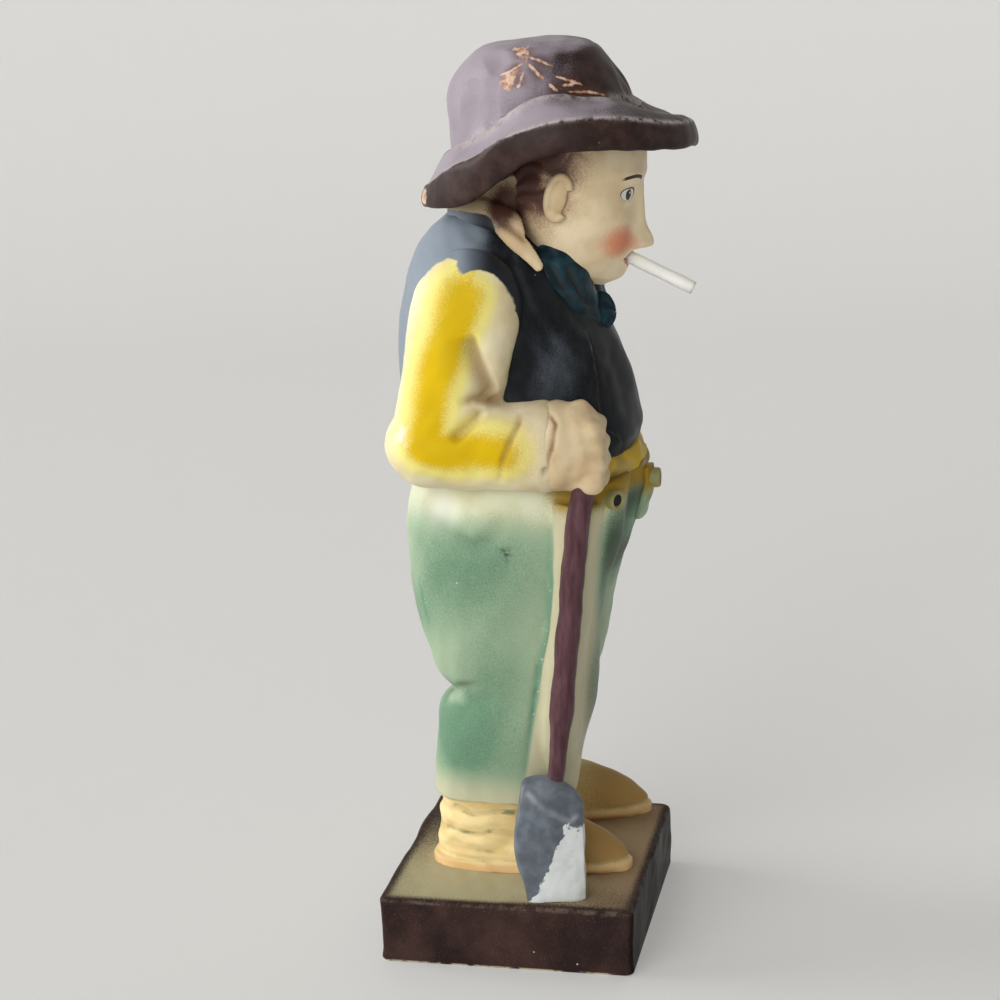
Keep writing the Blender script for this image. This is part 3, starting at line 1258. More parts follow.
skin_paint = skin_finish()
for side in SIDES:
    hand = Casting("fist_skin_" + side, *fist_lumps(side), cube=0.6, rounds=240)
    before = hand.points
    hollow = ((relax(before, hand.edges, 40) - before) * hand.normals).sum(1)
    if side == "right":
        cuff_line = hand.touch(CUFF_LINE)
    else:
        cuff_line = other_side(cuff_line) + WRIST["left"] - WRIST["right"]
    wrinkle = fold(before, cuff_line, 0.8, 0.1)
    hand.press(0.2 * swell(before, 8, 51) - 0.7 * wrinkle)
    hand.mask("shade", step(hollow, 0.02, 0.25) + wrinkle)
    hand.mask("crease", step(hollow, 0.06, 0.35) * 0.7 + 0.6 * wrinkle)
    hand.done(skin_paint, "skin_cream", "hand_" + side)

# %% [markdown]
# ## Neck, shirt collar and neckerchief
#
# The neck leans forward out of the vest. Over its foot lies the shirt's collar, a strip of cloth that
# starts at the nape and ends in a point on each side. The neckerchief is a rolled band that hangs from
# beside the neck to a knot; folds run along it, which are waves in the radius of its section.

# %% A band round the neck
NECK_WIDE, NECK_DEEP, NECK_HIGH, NECK_LEAN = 35.0, 33.0, 22.0, 13.0
NECK_FOOT = np.array([MIDDLE, 7.0, VEST[1, 2] - 0.45 * NECK_HIGH])
NECK_TOP = NECK_FOOT + [0, -NECK_LEAN, NECK_HIGH]


def band(half, thick, high, rings=200, sides=150):
    """An oval carried along a half line and its mirror image, flat against the neck: point + outward thick
    cos u + upright high sin u, with thick and high given for places along and round it."""
    stops = np.concatenate([half, other_side(half[:-1])[::-1]])
    at = np.linspace(0, 1, rings)
    path = smooth_rows(np.c_[np.linspace(0, 1, len(stops)), stops], at)
    ahead = unit(np.gradient(path, axis=0))
    outward = path * [1, 1, 0] + [-MIDDLE, NECK_LEAN / 2, NECK_LEAN / 2]
    outward = unit(outward - ahead * (outward * ahead).sum(1, keepdims=True))
    upright = np.cross(ahead, outward)
    u = turns(sides)[None]
    out, up = thick(at[:, None], u) * np.cos(u), high(at[:, None], u) * np.sin(u)
    return path[:, None] + outward[:, None] * out[..., None] + upright[:, None] * up[..., None]


print("the neck leans", NECK_LEAN, "mm over a height of", NECK_HIGH, "mm")

# %% Neck and shirt collar
WING_HIGH, WING_THICK = 9.0, 4.0
WING_REACH = np.array([NECK_WIDE / 2, NECK_DEEP, NECK_HIGH])
WING_HALF = np.array([
    (-1.52, -0.41, -0.62), (-1.43, -0.2, -0.25), (-1.13, 0.0, 0.03), (-0.69, 0.4, 0.1), (0.0, 0.56, 0.1)])


def wing_point(at):
    """The collar narrows towards its two points."""
    return 0.3 + 0.7 * np.minimum(1, 5 * np.minimum(at, 1 - at))


at = np.linspace(0, 1, 50)[:, None]
neck = tube(
    NECK_FOOT + at * (NECK_TOP - NECK_FOOT),
    NECK_WIDE / 2 * (1 - 0.06 * at[:, 0]), NECK_DEEP / 2 * (1 - 0.05 * at[:, 0]), 140)
wing_half = WING_HALF * WING_REACH + [MIDDLE, 0, VEST[1, 2]]
wings = band(
    wing_half, lambda at, u: WING_THICK / 2 * wing_point(at) + 0 * u,
    lambda at, u: WING_HIGH / 2 * wing_point(at) + 0 * u)
collar = Casting("collar_skin", neck, wings, cube=0.6, rounds=8)
place = collar.points
JAW_LINE = [(499, 219), (510, 228), (524, 238), (538, 246)]
NECK_LAP = [(440, 208), (454, 210), (468, 212), (486, 215), (494, 224)]
NAPE_HAIR = [(508, 203), (500, 216)]
jaw, neck_lap, nape = collar.touch(JAW_LINE), collar.touch(NECK_LAP), collar.touch(NAPE_HAIR)
groove = twice(fold, place, jaw, 1.3, 0.1)
collar.press(0.2 * swell(place, 10, 61) - 1.2 * groove)
paint_line = np.where(place[:, :1] < MIDDLE, place, other_side(place))
lap_height = height_along(paint_line, neck_lap)
collar.mask("vest_edge", (0.5 + 0.25 * (lap_height - place[:, 2])) * step(place[:, 1], 0, 3))
collar.mask("high", step(place[:, 1], 4, 16))
collar.mask("shade", 0.5 * groove)
collar.mask("hair", 1.1 * spot(paint_line, nape[0], [9, 7, 7]) + 0.5 * spot(paint_line, nape[1], [6, 4, 6]))
collar.mask("crease", groove)
collar.done(skin_paint, "skin_cream", "collar")

# %% Form of the neckerchief
BAND_HIGH, BAND_THICK = 22.0, 8.0
KNOT_AT = np.array([MIDDLE, -25.0, VEST[1, 2] - 32.0])
KNOT, PLEATS = 13.0, 9
BAND_REACH = np.array([NECK_WIDE / 2, 22.0, 26.0])
BAND_HALF = np.array([(-1.08, 0.7, 0.88), (-1.1, 0.43, 0.6), (-0.72, 0.14, 0.2), (0.0, 0.0, -0.04)])


def rolled(at, u):
    """How full the roll is: round ends, a deep fold along its outside and two shallow ones that wander."""
    turn = (u + np.pi) % (2 * np.pi) - np.pi
    wander = 0.25 * np.sin(5 * at)
    deep = 0.26 * hump(turn - 0.25 - wander, 0.2)
    shallow = 0.1 * hump(turn + 0.55 - 2 * wander, 0.14) + 0.08 * hump(turn - 0.85 + wander, 0.12)
    flat = 0.5 + 0.5 * np.minimum(1, 5 * np.minimum(at, 1 - at))
    return round_ends(at, 0.06, 0.06) * flat * (1.04 - deep - shallow)


knot_half = KNOT_AT + BAND_HALF * BAND_REACH
roll = band(knot_half, lambda at, u: BAND_THICK / 2 * rolled(at, u),
            lambda at, u: BAND_HIGH / 2 * round_ends(at, 0.1, 0.1) + 0 * u)
print("the roll has", roll.shape[0], "rings")


# %% Neckerchief, knot and their paint
def kerchief_finish():
    """Deep blue-green enamel, a little lighter where it was brushed thin over the folds."""
    finish = Finish("kerchief_paint")
    brushed = finish.clouds(5.0, 0.35, 0.7, 4.0, 0.6)
    colour = finish.coats(finish.mix("#0e2027", "#16343e", brushed), ("#2a5563", "high", 0.5))
    return aged(finish, colour, 0.34 + 0.15 * brushed, dirt=0.3, flecks=0.3, grain=0.05, gloss=0.12)


kerchief_paint = kerchief_finish()
knot_radii = KNOT / 2 * np.array([1.0, 0.8, 0.9])
knot_at = KNOT_AT - [0, KNOT / 8, 0]
DRAPES = [[(548, 260), (562, 284), (578, 307)], [(563, 262), (577, 284), (589, 305)]]
for name, node, grid in [("band_skin", "neckerchief", roll),
                         ("knot_skin", "kerchief_knot", egg(knot_at, knot_radii, 80, 110))]:
    cloth_piece = Casting(name, grid)
    place = cloth_piece.points
    drapes = [cloth_piece.touch(line) for line in DRAPES] if node == "neckerchief" else []
    drapes = drapes + [other_side(line) for line in drapes]
    pulled = np.sin(PLEATS * np.arctan2(place[:, 2] - knot_at[2], place[:, 0] - knot_at[0]))
    pleats = 0.35 * pulled if node == "kerchief_knot" else 0
    groove = sum(fold(place, line, 1.2, 0.2) for line in drapes) + 0 * pulled
    ridge = sum(fold(place, line + [0, -1.6, 0.9], 1.3, 0.2) for line in drapes)
    cloth_piece.press(pleats + 0.3 * swell(place, 9, 62) + 0.7 * ridge - 1.1 * groove)
    cloth_piece.mask("high", 0.5 * step(swell(cloth_piece.points, 7, 63), 0.2, 0.9) + ridge)
    cloth_piece.mask("crease", groove)
    cloth_piece.done(kerchief_paint, "kerchief_blue", node)

# %% [markdown]
# ## The head
#
# The face is a plain one of our own, on the proportions of a drawing book: the eyes at half the head's
# height, the nose half way from there to the chin, the mouth a third further down. It is an egg with soft
# swellings added, all of them formulas in x and z. The paint reads the same two coordinates from the mesh,
# so the eyes and brows have sharp painted edges. Hair is sprayed on under the hat.

# %% Proportions of the head
HEAD_HIGH, HEAD_WIDE, HEAD_DEEP, HEAD_Y = 61.0, 45.0, 43.0, -19.5
NOD = np.radians(13.0)
CHIN_Z = VEST[1, 2] - 20.0
EYE_Z = CHIN_Z + HEAD_HIGH / 2
NOSE_Z = (CHIN_Z + EYE_Z) / 2
MOUTH_Z = NOSE_Z - (NOSE_Z - CHIN_Z) / 3
EYE_X = HEAD_WIDE * 0.2
DIP = np.radians(26.0)
PULL = np.array([0, -np.cos(DIP), -np.sin(DIP)])  # the way the cigarette comes out
SMOKE = node_box("cigarette").mean(0)
SMOKE_LONG, SMOKE_RADIUS = 31.0, 2.2
print("eyes at", round(EYE_Z, 1), "nose at", round(NOSE_Z, 1), "and mouth at", round(MOUTH_Z, 1), "mm")


# %% Form of the face
def bump(dx, wide, dz, high):
    """exp(-(dx / wide) squared - (dz / high) squared)."""
    return hump(dx, wide) * hump(dz, high)


def face(x, z):
    """How far the face stands out of the egg at x from the middle plane and height z."""
    side = np.abs(x)
    bridge = np.clip((EYE_Z - z) / (EYE_Z - NOSE_Z), 0, 1)
    nose = 5.2 * (0.2 + 0.8 * bridge) * step(z, NOSE_Z - 3.4, NOSE_Z + 0.4)
    nose = nose * bump(x, 2.8 + 1.7 * bridge, np.maximum(0, z - EYE_Z), 4)
    nose = nose + 2.2 * bump(x, 4.0, z - NOSE_Z - 1.2, 3.2)
    wings = 2.0 * bump(side - 4.4, 2.0, z - NOSE_Z - 0.4, 2.4)
    eyes = -1.9 * bump(side - EYE_X, 5.0, z - EYE_Z, 4.0) + 1.5 * bump(side - EYE_X, 3.0, z - EYE_Z, 2.3)
    lids = 0.45 * bump(side - EYE_X, 3.8, z - EYE_Z - 2.3, 0.7)
    lids = lids + 0.3 * bump(side - EYE_X, 3.6, z - EYE_Z + 2.5, 0.8)
    brow = 1.2 * bump(side - EYE_X, 8, z - EYE_Z - 6, 3)
    cheek = 2.2 * bump(side - HEAD_WIDE * 0.26, 7, z - NOSE_Z, 7)
    lips = 1.9 * bump(x, 7, z - MOUTH_Z, 3.6) - 1.0 * bump(x, 6, z - MOUTH_Z, 0.55)
    groove = -0.5 * bump(x, 1.0, z - (MOUTH_Z + NOSE_Z) / 2 + 0.5, 1.6)
    chin = 2.1 * bump(x, 7, z - CHIN_Z - 4, 4.4)
    return nose + wings + eyes + lids + brow + cheek + lips + groove + chin


def nodded(points, back=False):
    """Points of the head, made upright, turned forward about its middle; or turned back up again."""
    middle = np.array([MIDDLE, HEAD_Y, EYE_Z])
    return middle + turned(points - middle, -NOD if back else NOD, 1, 2)


print("the nose stands out", round(float(face(0.0, NOSE_Z)), 1), "mm")

# %% Head, socket and hair
head_rows = np.asarray([
    (0, 0.14, -0.36, 0.02), (0.06, 0.3, -0.44, 0.16), (0.18, 0.43, -0.48, 0.33), (0.36, 0.5, -0.5, 0.46),
    (0.55, 0.5, -0.49, 0.5), (0.72, 0.48, -0.47, 0.5), (0.88, 0.38, -0.36, 0.4), (1, 0.14, -0.1, 0.14)])
head_rows = head_rows * [1, HEAD_WIDE, HEAD_DEEP, HEAD_DEEP] + [0, 0, HEAD_Y, HEAD_Y]
ball = stack(head_rows, CHIN_Z, CHIN_Z + HEAD_HIGH, rings=200, sides=300, x=MIDDLE)
to_front = np.clip((HEAD_Y - ball[..., 1]) / (HEAD_DEEP * 0.25), 0, 1)
ball[..., 1] -= to_front * face(ball[..., 0] - MIDDLE, ball[..., 2])
head = Casting("head_skin", nodded(ball))
place = head.points
stick_end = SMOKE - PULL * SMOKE_LONG / 2
off = place - stick_end
radius = np.linalg.norm(off - (off @ PULL)[:, None] * PULL, axis=1)
hole = step(radius, SMOKE_RADIUS + 0.7, SMOKE_RADIUS + 0.25) * step(off @ PULL, -4, 0)
head.points = place - PULL * (hole * np.maximum(0, off @ PULL + 0.6))[:, None]
x, y, z = nodded(place, back=True).T
side = np.abs(x - MIDDLE)
HAIR_PIXELS = [(526, 184), (556, 164), (514, 202), (542, 196)]
HAIR_SIZES = [(14, 13, 13), (11, 9, 9), (12, 10, 11), (11, 9, 8)]
hair = step(y, HEAD_Y - 1, HEAD_Y + 9) * step(z, EYE_Z - 20, EYE_Z - 4)
for middle, size in zip(head.touch(HAIR_PIXELS), HAIR_SIZES):
    for centre in (middle, other_side(middle)):
        hair = np.maximum(hair, spot(place, centre, size))
strands = np.sin(2 * np.pi * (z + 0.35 * (y - HEAD_Y) + 1.5 * swell(place, 12, 71)) / 4.5)
head.press(hair * (0.18 * strands + 0.3) + 0.1 * swell(place, 8, 72))
head.field("face_x", side)
head.field("face_z", z - EYE_Z)
head.mask("front", step(HEAD_Y - y, 2, 8))
head.mask("hair", hair * (0.92 + 0.08 * strands) + 0.12 * hair * swell(place, 9, 73))
head.mask("hole", hole)
head.mask("crease", 0.6 * bump(side, 5.5, z - MOUTH_Z, 0.5) + 0.5 * bump(side - 6.2, 1.0, z - NOSE_Z, 2.5))
print("hair covers", round(100 * np.mean(hair > 0.5)), "% of the head")


# %% Head paint
def head_finish():
    """Flesh sprayed over cream: a blush on the cheeks, brown hair, and brushed eyes, brows and lips."""
    finish = Finish("head_paint")
    x, z, front = finish.mask("face_x"), finish.mask("face_z"), finish.mask("front")
    mouth, cheek = MOUTH_Z - EYE_Z, NOSE_Z - EYE_Z + 1

    def oval(cx, cz, wide, high):
        """1 at the middle of an oval, 0 on its edge and below 0 outside."""
        return 1 - finish.maths("POWER", (x - cx) / wide, 2) - finish.maths("POWER", (z - cz) / high, 2)

    colour = finish.mottled("#f6e2bc", "#e7cfa6", 12.0, 0.38, 0.68)
    blush = finish.rise(oval(HEAD_WIDE * 0.25, cheek, 8.5, 7.5), 0, 1.1) * front
    colour = finish.spray(colour, "#dd7f58", blush * 0.8, grain=0.3)
    warm = finish.mix("#784739", "#553830", finish.rise(finish.mask("hair"), 0.45, 0.95))
    colour = finish.coats(colour, (warm, "hair", 1.1, 0.6))
    eye = finish.rise(oval(EYE_X, 0.1, 3.5, 1.95), 0.0, 0.08) * front
    for over, shape, soft, within in [
            ("#b8604a", (0.0, mouth, 6.2, 2.6), 0.25, front * 0.85),  # lips
            ("#5f2b22", (0.0, mouth, 6.6, 0.5), 0.3, front),  # the line between them
            ("#3a261d", (EYE_X, 0.35, 3.9, 2.25), 0.08, front),  # lids
            ("#f3eee2", (EYE_X, 0.1, 3.5, 1.95), 0.08, front),  # white of the eye
            ("#35221a", (EYE_X, 0.1, 1.5, 1.75), 0.12, eye),  # iris
            ("#0d0907", (EYE_X, 0.1, 0.8, 0.9), 0.2, eye),  # pupil
            ("#f6f2ea", (EYE_X - 0.5, 0.7, 0.35, 0.35), 0.3, eye)]:  # glint
        colour = finish.mix(colour, over, finish.rise(oval(*shape), 0.0, soft) * within)
    arch = z + finish.maths("POWER", (x - EYE_X) / 6.0, 2) * 1.6 - 6.2
    brow = finish.rise(1 - finish.maths("POWER", arch / 0.62, 2), 0.0, 0.3)
    brow = brow * finish.rise(x, 4.2, 5.2) * finish.rise(x, 14.6, 13.0) * front
    colour = finish.coats(finish.mix(colour, "#2c1b15", brow), ("#1c0f0c", "hole", 1.0))
    return aged(finish, colour, 0.46, dirt=0.4, flecks=0.2, grain=0.05, gloss=0.35)


head.done(head_finish(), "skin_cream", "head")

# %% Ears
EAR_HIGH, EAR_DEEP = 15.0, 8.0
for side, sign in SIDES.items():
    middle = node_box("ear_" + side).mean(0)
    u = np.linspace(-0.75 * np.pi, 0.85 * np.pi, 60)
    rim = np.stack([0 * u - 0.3, 0.5 * EAR_DEEP * 0.82 * np.cos(u), 0.5 * EAR_HIGH * 0.86 * np.sin(u)], 1)
    lumps = [tube(rim * [sign, 1, 1], 1.5, 1.3, 24), egg([-0.6 * sign, 0.4, 0], [1.3, 3.1, 6.2], 40, 48),
             egg([-0.2 * sign, 0.6, -5.2], [1.5, 2.3, 2.2], 30, 36)]
    lumps = [nodded(lump + middle - [0.1 * sign, 0, 0]) - nodded(middle) + middle for lump in lumps]
    ear = Casting("ear_skin_" + side, *lumps, cube=0.4, rounds=8)
    depth = (ear.points[:, 0] - middle[0]) * sign
    ear.mask("shade", step(depth, 0.6, -0.8) * 0.8)
    ear.mask("crease", step(depth, 0.2, -0.8) * 0.5)
    ear.done(skin_paint, "skin_cream", "ear_" + side)

# %% [markdown]
# ## The hat
#
# A felt hat with a tall crown and a brim that turns down. It is one skin through fifteen rings, from the
# hollow under the brim, round its rim, over the fold, up the crown to its top. Felt that has been handled
# is dented in planes, so points beyond a plane are pulled most of the way back to it. Thin strokes and two
# patches of bare casting are laid on the crown where the photograph shows the paint chipped.

# %% Rings of the hat
CROWN_HIGH, CROWN_LONG, CROWN_WIDE = 32.5, 62.0, 56.0
BRIM_LONG, BRIM_WIDE, DROOP, FOLD, HOLLOW = 86.0, 82.0, 17.0, 3.0, 7.0
BRIM_Z = CHIN_Z + 40.0
BRIM_Y, CROWN_Y = HEAD_Y + 4.5, HEAD_Y + 7.5
HAT_AROUND, HAT_UP = 320, 230
RIM_LINE = [0.05, 0.2, 0.08, -0.69, -1]
FOLD_LINE = [0.5, 0.78, 0.68, 0.13, -0.6]
FOOT_LINE = [0.79, 1.05, 1.02, 0.44, -0.07]
CROWN_ROWS = [  # half width, front and back as shares, share of the height
    (0.98, -0.89, 1.015, 0.4), (0.95, -0.82, 0.98, 0.57), (0.9, -0.73, 0.9, 0.71), (0.81, -0.61, 0.78, 0.85),
    (0.67, -0.49, 0.63, 0.96), (0.36, -0.22, 0.36, 1.0), (0.03, -0.03, 0.03, 1.0)]
FAR_DROOP = 4.0  # the brim hangs lower over the left eye


def hat_ring(wide, front, back, line, rise):
    """An oval ring whose height follows five heights from front to back, as shares of the droop."""
    u = turns(HAT_AROUND)
    share = (1 + np.sin(u)) / 2
    height = smooth_rows(np.c_[np.linspace(0, 1, 5), line], share)[:, 0] * DROOP
    y = (front + back) / 2 + (back - front) / 2 * np.sin(u)
    return np.stack([MIDDLE + wide * np.cos(u), y, BRIM_Z + rise + height], 1)


def brim_ring(inset, line, rise=0.0):
    """A ring of the brim, so far in from its rim."""
    half = BRIM_LONG / 2 - inset
    return hat_ring(BRIM_WIDE / 2 - inset, BRIM_Y - half, BRIM_Y + half, line, rise)


def crown_ring(wide, front, back, up):
    """A level ring of the crown, with its width, front, back and height as shares."""
    front, back = CROWN_Y + np.array([front, back]) * CROWN_LONG / 2
    return hat_ring(CROWN_WIDE / 2 * wide, front, back, [0] * 5, CROWN_HIGH * up)


def foot_ring(outset, rise):
    """A ring where the crown meets the brim, so far out from the crown."""
    half = CROWN_LONG / 2 + outset
    return hat_ring(CROWN_WIDE / 2 + outset, CROWN_Y - half, CROWN_Y + half, FOOT_LINE, rise)


hat_rings = np.stack([
    brim_ring(0.55 * BRIM_WIDE / 2, RIM_LINE, HOLLOW),
    brim_ring(0.2 * BRIM_WIDE / 2, RIM_LINE, 0.43 * HOLLOW),
    brim_ring(0.3 * FOLD, RIM_LINE), brim_ring(0, RIM_LINE, 0.7 * FOLD),
    brim_ring(0.35 * FOLD, FOLD_LINE, -0.5 * FOLD), brim_ring(0.8 * FOLD, FOLD_LINE),
    foot_ring(2.2, -0.4), foot_ring(0.0, 0.0),
    *[crown_ring(*row) for row in CROWN_ROWS]])
run = np.linalg.norm(np.diff(hat_rings, axis=0), axis=2).mean(1)
ring_at = np.concatenate([[0], np.cumsum(np.sqrt(run))])
ring_at /= ring_at[-1]
up_hat = np.linspace(0, 1, HAT_UP)
hat_grid = smooth_rows(np.c_[ring_at, hat_rings.reshape(len(hat_rings), -1)], up_hat)
hat_row = np.concatenate([np.repeat(up_hat, HAT_AROUND), [0, 1]])
hat = Casting("hat_skin", hat_grid.reshape(HAT_UP, HAT_AROUND, 3))
place = hat.points
far = step(place[:, 0] - MIDDLE, -4, 22) * step(BRIM_Y - place[:, 1], 4, 26)
far = far * step(hat_row, ring_at[8], ring_at[6])
hat.points = place - FAR_DROOP * far[:, None] * [0, 0, 1]
print("the hat has", len(hat_rings), "rings")

# %% Planes in the felt
FACET_PIXELS = [(474, 102), (500, 58), (566, 62), (624, 76)]
FACET_DEPTHS = [1.5, 0.7, 0.1, 0.9]
FACET_REACH, FACET_PULL = 22.0, 0.9
place, normal = hat.points, hat.normals
for centre, depth in zip(hat.touch(FACET_PIXELS), FACET_DEPTHS):
    nearest = np.argmin(((place - centre) ** 2).sum(1))
    for point, facing in ((centre, normal[nearest]), (other_side(centre), normal[nearest] * [-1, 1, 1])):
        beyond = np.maximum(0, (place - point) @ facing + depth + 0.35 * swell(place, 11, 83))
        near = step(np.linalg.norm(place - point, axis=1), FACET_REACH, 0.4 * FACET_REACH)
        place = place - FACET_PULL * facing * (beyond * near)[:, None]
hat.points = place
hat.press(0.4 * swell(place, 30, 81) + 0.1 * swell(place, 9, 82))
print(len(FACET_DEPTHS), "planes on each side, up to", max(FACET_DEPTHS), "mm deep")

# %% Chips, rubbing and bloom on the hat
CHIP_STROKES = [
    [(513, 45), (519, 54), (527, 64)], [(528, 45), (528, 56), (523, 68)], [(520, 56), (538, 60), (556, 68)],
    [(526, 62), (536, 72), (546, 82)], [(526, 62), (510, 72), (498, 76)], [(523, 66), (508, 78), (502, 92)],
    [(518, 68), (512, 82), (509, 93)], [(523, 70), (521, 80), (517, 90)], [(552, 75), (568, 80), (586, 86)],
    [(560, 86), (570, 85), (578, 80)], [(562, 92), (590, 92), (612, 97)], [(546, 82), (556, 90), (570, 95)]]
CHIP_PATCHES = [(521, 50), (507, 82)]
BRIM_CHIP = [(424, 197)]
HAT_SHEEN_WAY = [-0.4, 0.68, 0.5]  # the bloom is strongest where the felt faces this way
BAND_PIXELS = [(453, 151), (486, 131), (514, 112), (531, 100), (559, 96), (604, 97), (645, 102)]
place = hat.points
strokes = [hat.touch(line) for line in CHIP_STROKES]
patches = [0.8 * spot(place, centre, [3.2, 3.2, 3.2]) for centre in hat.touch(CHIP_PATCHES)]
chips = np.max(patches + [fold(place, line, 0.5, 0.2) for line in strokes], axis=0)
hat.mask("bruise", np.max([fold(place, line, 3.0, 0.3) for line in strokes], axis=0))
band_line = hat.touch(BAND_PIXELS)
fold_wide = ring_at[5] - ring_at[4]
fold_row = ring_at[4] + 0.6 * fold_wide
hat.mask("chip", chips + 0.9 * spot(place, hat.touch(BRIM_CHIP)[0], [4, 3, 3]))
rubbing = hump(hat_row - fold_row, 0.35 * fold_wide)
hat.mask("worn", rubbing + 0.8 * fold(place, band_line, 1.6, 0.05))
above_fold = step(hat_row, ring_at[4], ring_at[5])
hat.mask("high", step(hat.normals @ HAT_SHEEN_WAY, 0.0, 0.72) * above_fold)
hat.mask("crease", fold(place, band_line - [0, 0, 0.5], 1.0, 0.05) * 0.5)
print(len(strokes), "chipped strokes and", len(patches), "patches")


# %% Hat paint
def hat_finish():
    """Dark brown with a greyish bloom, rubbed along its edges and chipped to the casting."""
    finish = Finish("hat_paint")
    streaks = finish.noise(5.0, 5.0, 0.6)
    colour = finish.mix("#2b1d1a", "#412e2a", finish.rise(streaks, 0.35, 0.7))
    bloom = finish.mask("high") * 0.85 + (finish.noise(9.0, 4.0) - 0.5) * 0.35
    colour = finish.spray(colour, "#a1969f", bloom, grain=0.5)
    colour = finish.coats(colour, ("#5b3a31", "bruise", 0.55, 0.6))
    colour = finish.worn(colour, "#c6bcb8", "worn", 0.8, 3.0, 0.38, 0.55, 5.0, 0.7)
    flakes = (finish.noise(2.0, 6.0, 0.8) - 0.5) * 1.6
    loose = finish.mask("bruise") * 0.6 - 0.3
    chip = finish.rise(finish.maths("MAXIMUM", finish.mask("chip"), loose) + flakes, 0.42, 0.6)
    colour = finish.mix(colour, finish.mottled("#bb8567", "#e2c3ad", 2.0, 0.4, 0.6, 4.0), chip)
    return aged(finish, colour, 0.34 + 0.2 * streaks, dirt=0.5, flecks=0.6, grain=0.08, gloss=0.15)


hat.done(hat_finish(), "hat_brown", "hat")

# %% [markdown]
# ## The cigarette
#
# A small rolled stick that pulls out of the mouth; it is loose on the real object too, so it rides its own
# body. A plain cylinder would do at a distance. Here the paper laps over itself, so the radius grows a
# little round the section and steps back at the seam.

# %% Cigarette
SMOKE_RINGS, WOBBLE = 90, 0.03
at = np.concatenate([[0, 0.004], np.linspace(0.008, 0.992, SMOKE_RINGS), [0.996, 1]])
wobble = WOBBLE * np.sin(np.linspace(0, 17, SMOKE_RINGS)) * np.linspace(0, 1, SMOKE_RINGS)
squeeze = np.concatenate([[0.05, 0.9], 1 + wobble, [0.97, 0.05]])
u = turns(72)[None]
seam = 0.94 + 0.06 * ((u / (2 * np.pi) + 0.25 * at[:, None]) % 1.0)
radius = SMOKE_RADIUS * 0.96 * squeeze[:, None] * seam
along_stick = SMOKE + PULL * SMOKE_LONG * (at[:, None] - 0.5)
cross = np.cross(PULL, [1.0, 0, 0])
stick = (along_stick[:, None] + radius[..., None] * (
    np.cos(u)[..., None] * [1.0, 0, 0] + np.sin(u)[..., None] * cross))
cigarette = Casting("cigarette_roll", stick)
place = cigarette.points
cigarette.mask("tip", step((place - SMOKE) @ PULL, SMOKE_LONG / 2 - 1.2, SMOKE_LONG / 2))


def paper_finish():
    """White paper, a little grey along the roll and at its open end."""
    finish = Finish("rolled_paper")
    paper = finish.mottled("#fffef8", "#f4f2ea", 2.0, 0.45, 0.75, 4.0, 0.6, stretch=(1.0, 0.25, 0.25))
    colour = finish.coats(paper, ("#b9ae9c", "tip", 0.5))
    return aged(finish, colour, 0.75, dirt=0.05, flecks=0.0, grain=0.05, gloss=0.2)


cigarette.done(paper_finish(), "cigarette_paper", "cigarette", body="cigarette")

# %% [markdown]
# ## The axe
#
# The haft goes from the fist to the axe head, a little bent at its top and painted maroon along the grain;
# it is a tube on a straight path with that bend added. The head is a thick wedge: a section carried from
# the poll to the edge. A box with bevels would look machined, so the fusing wears its corners off. The
# blade is painted silver on the lower corner.

# %% Haft
at = np.linspace(0, 1, 140)
taper = 0.5 + 0.5 * np.minimum(1, at * 4)
HAFT_BEND = 2.2  # its top leans this much further forward
bent = haft_line(at) - HAFT_BEND * step(at, 0.78, 1.0)[:, None] * [0, 1, 0]
haft = Casting("haft_rod", tube(bent, HAFT_THICK / 2 * taper, HAFT_WIDE / 2 * taper, 90))
place = haft.points
haft.press(0.22 * swell(place, 22, 91) + 0.08 * swell(place, 6, 92))


def haft_finish():
    """Maroon brushed along the wood, thin in places."""
    finish = Finish("haft_paint")
    colour = finish.mottled("#4a2c31", "#64434a", 2.5, 0.35, 0.7, 4.0, 0.6, stretch=(1.0, 1.0, 0.2))
    return aged(finish, colour, 0.42, dirt=0.3, flecks=0.4, grain=0.07)


haft.done(haft_finish(), "haft_maroon", "axe_haft")

# %% Form of the axe head
AXE_THICK, AXE_EDGE = 14.0, 3.0


def wedge_grid(rings=60, sides=45):
    """A section with a rounded top, scaled in width and height from the poll to the edge."""
    at = np.linspace(0, 1, rings)
    thick, top = smooth_rows(
        [(0, 0.8, 0.84), (0.08, 1, 0.95), (0.35, 1, 1), (0.6, 0.85, 0.98), (0.85, 0.5, 0.9),
         (1, AXE_EDGE / AXE_THICK, 0.8)], at).T[:, :, None]
    half = smooth_rows(
        [(0, 1, 0), (0.28, 1.04, 0.3), (0.56, 1, 0.62), (0.78, 0.9, 0.85), (0.92, 0.5, 0.97), (1, 0, 1)],
        np.linspace(0, 1, sides))
    across = np.concatenate([half[:, 0], -half[-2::-1, 0]])[None]
    up = np.concatenate([half[:, 1], half[-2::-1, 1]])[None]
    low, high = AXE
    y = np.broadcast_to(high[1] + at[:, None] * (low[1] - high[1]), (rings, across.shape[1]))
    z = low[2] + (high[2] - low[2]) * top * up
    return np.stack([AXE[:, 0].mean() + AXE_THICK / 2 * thick * across, y, z], -1)


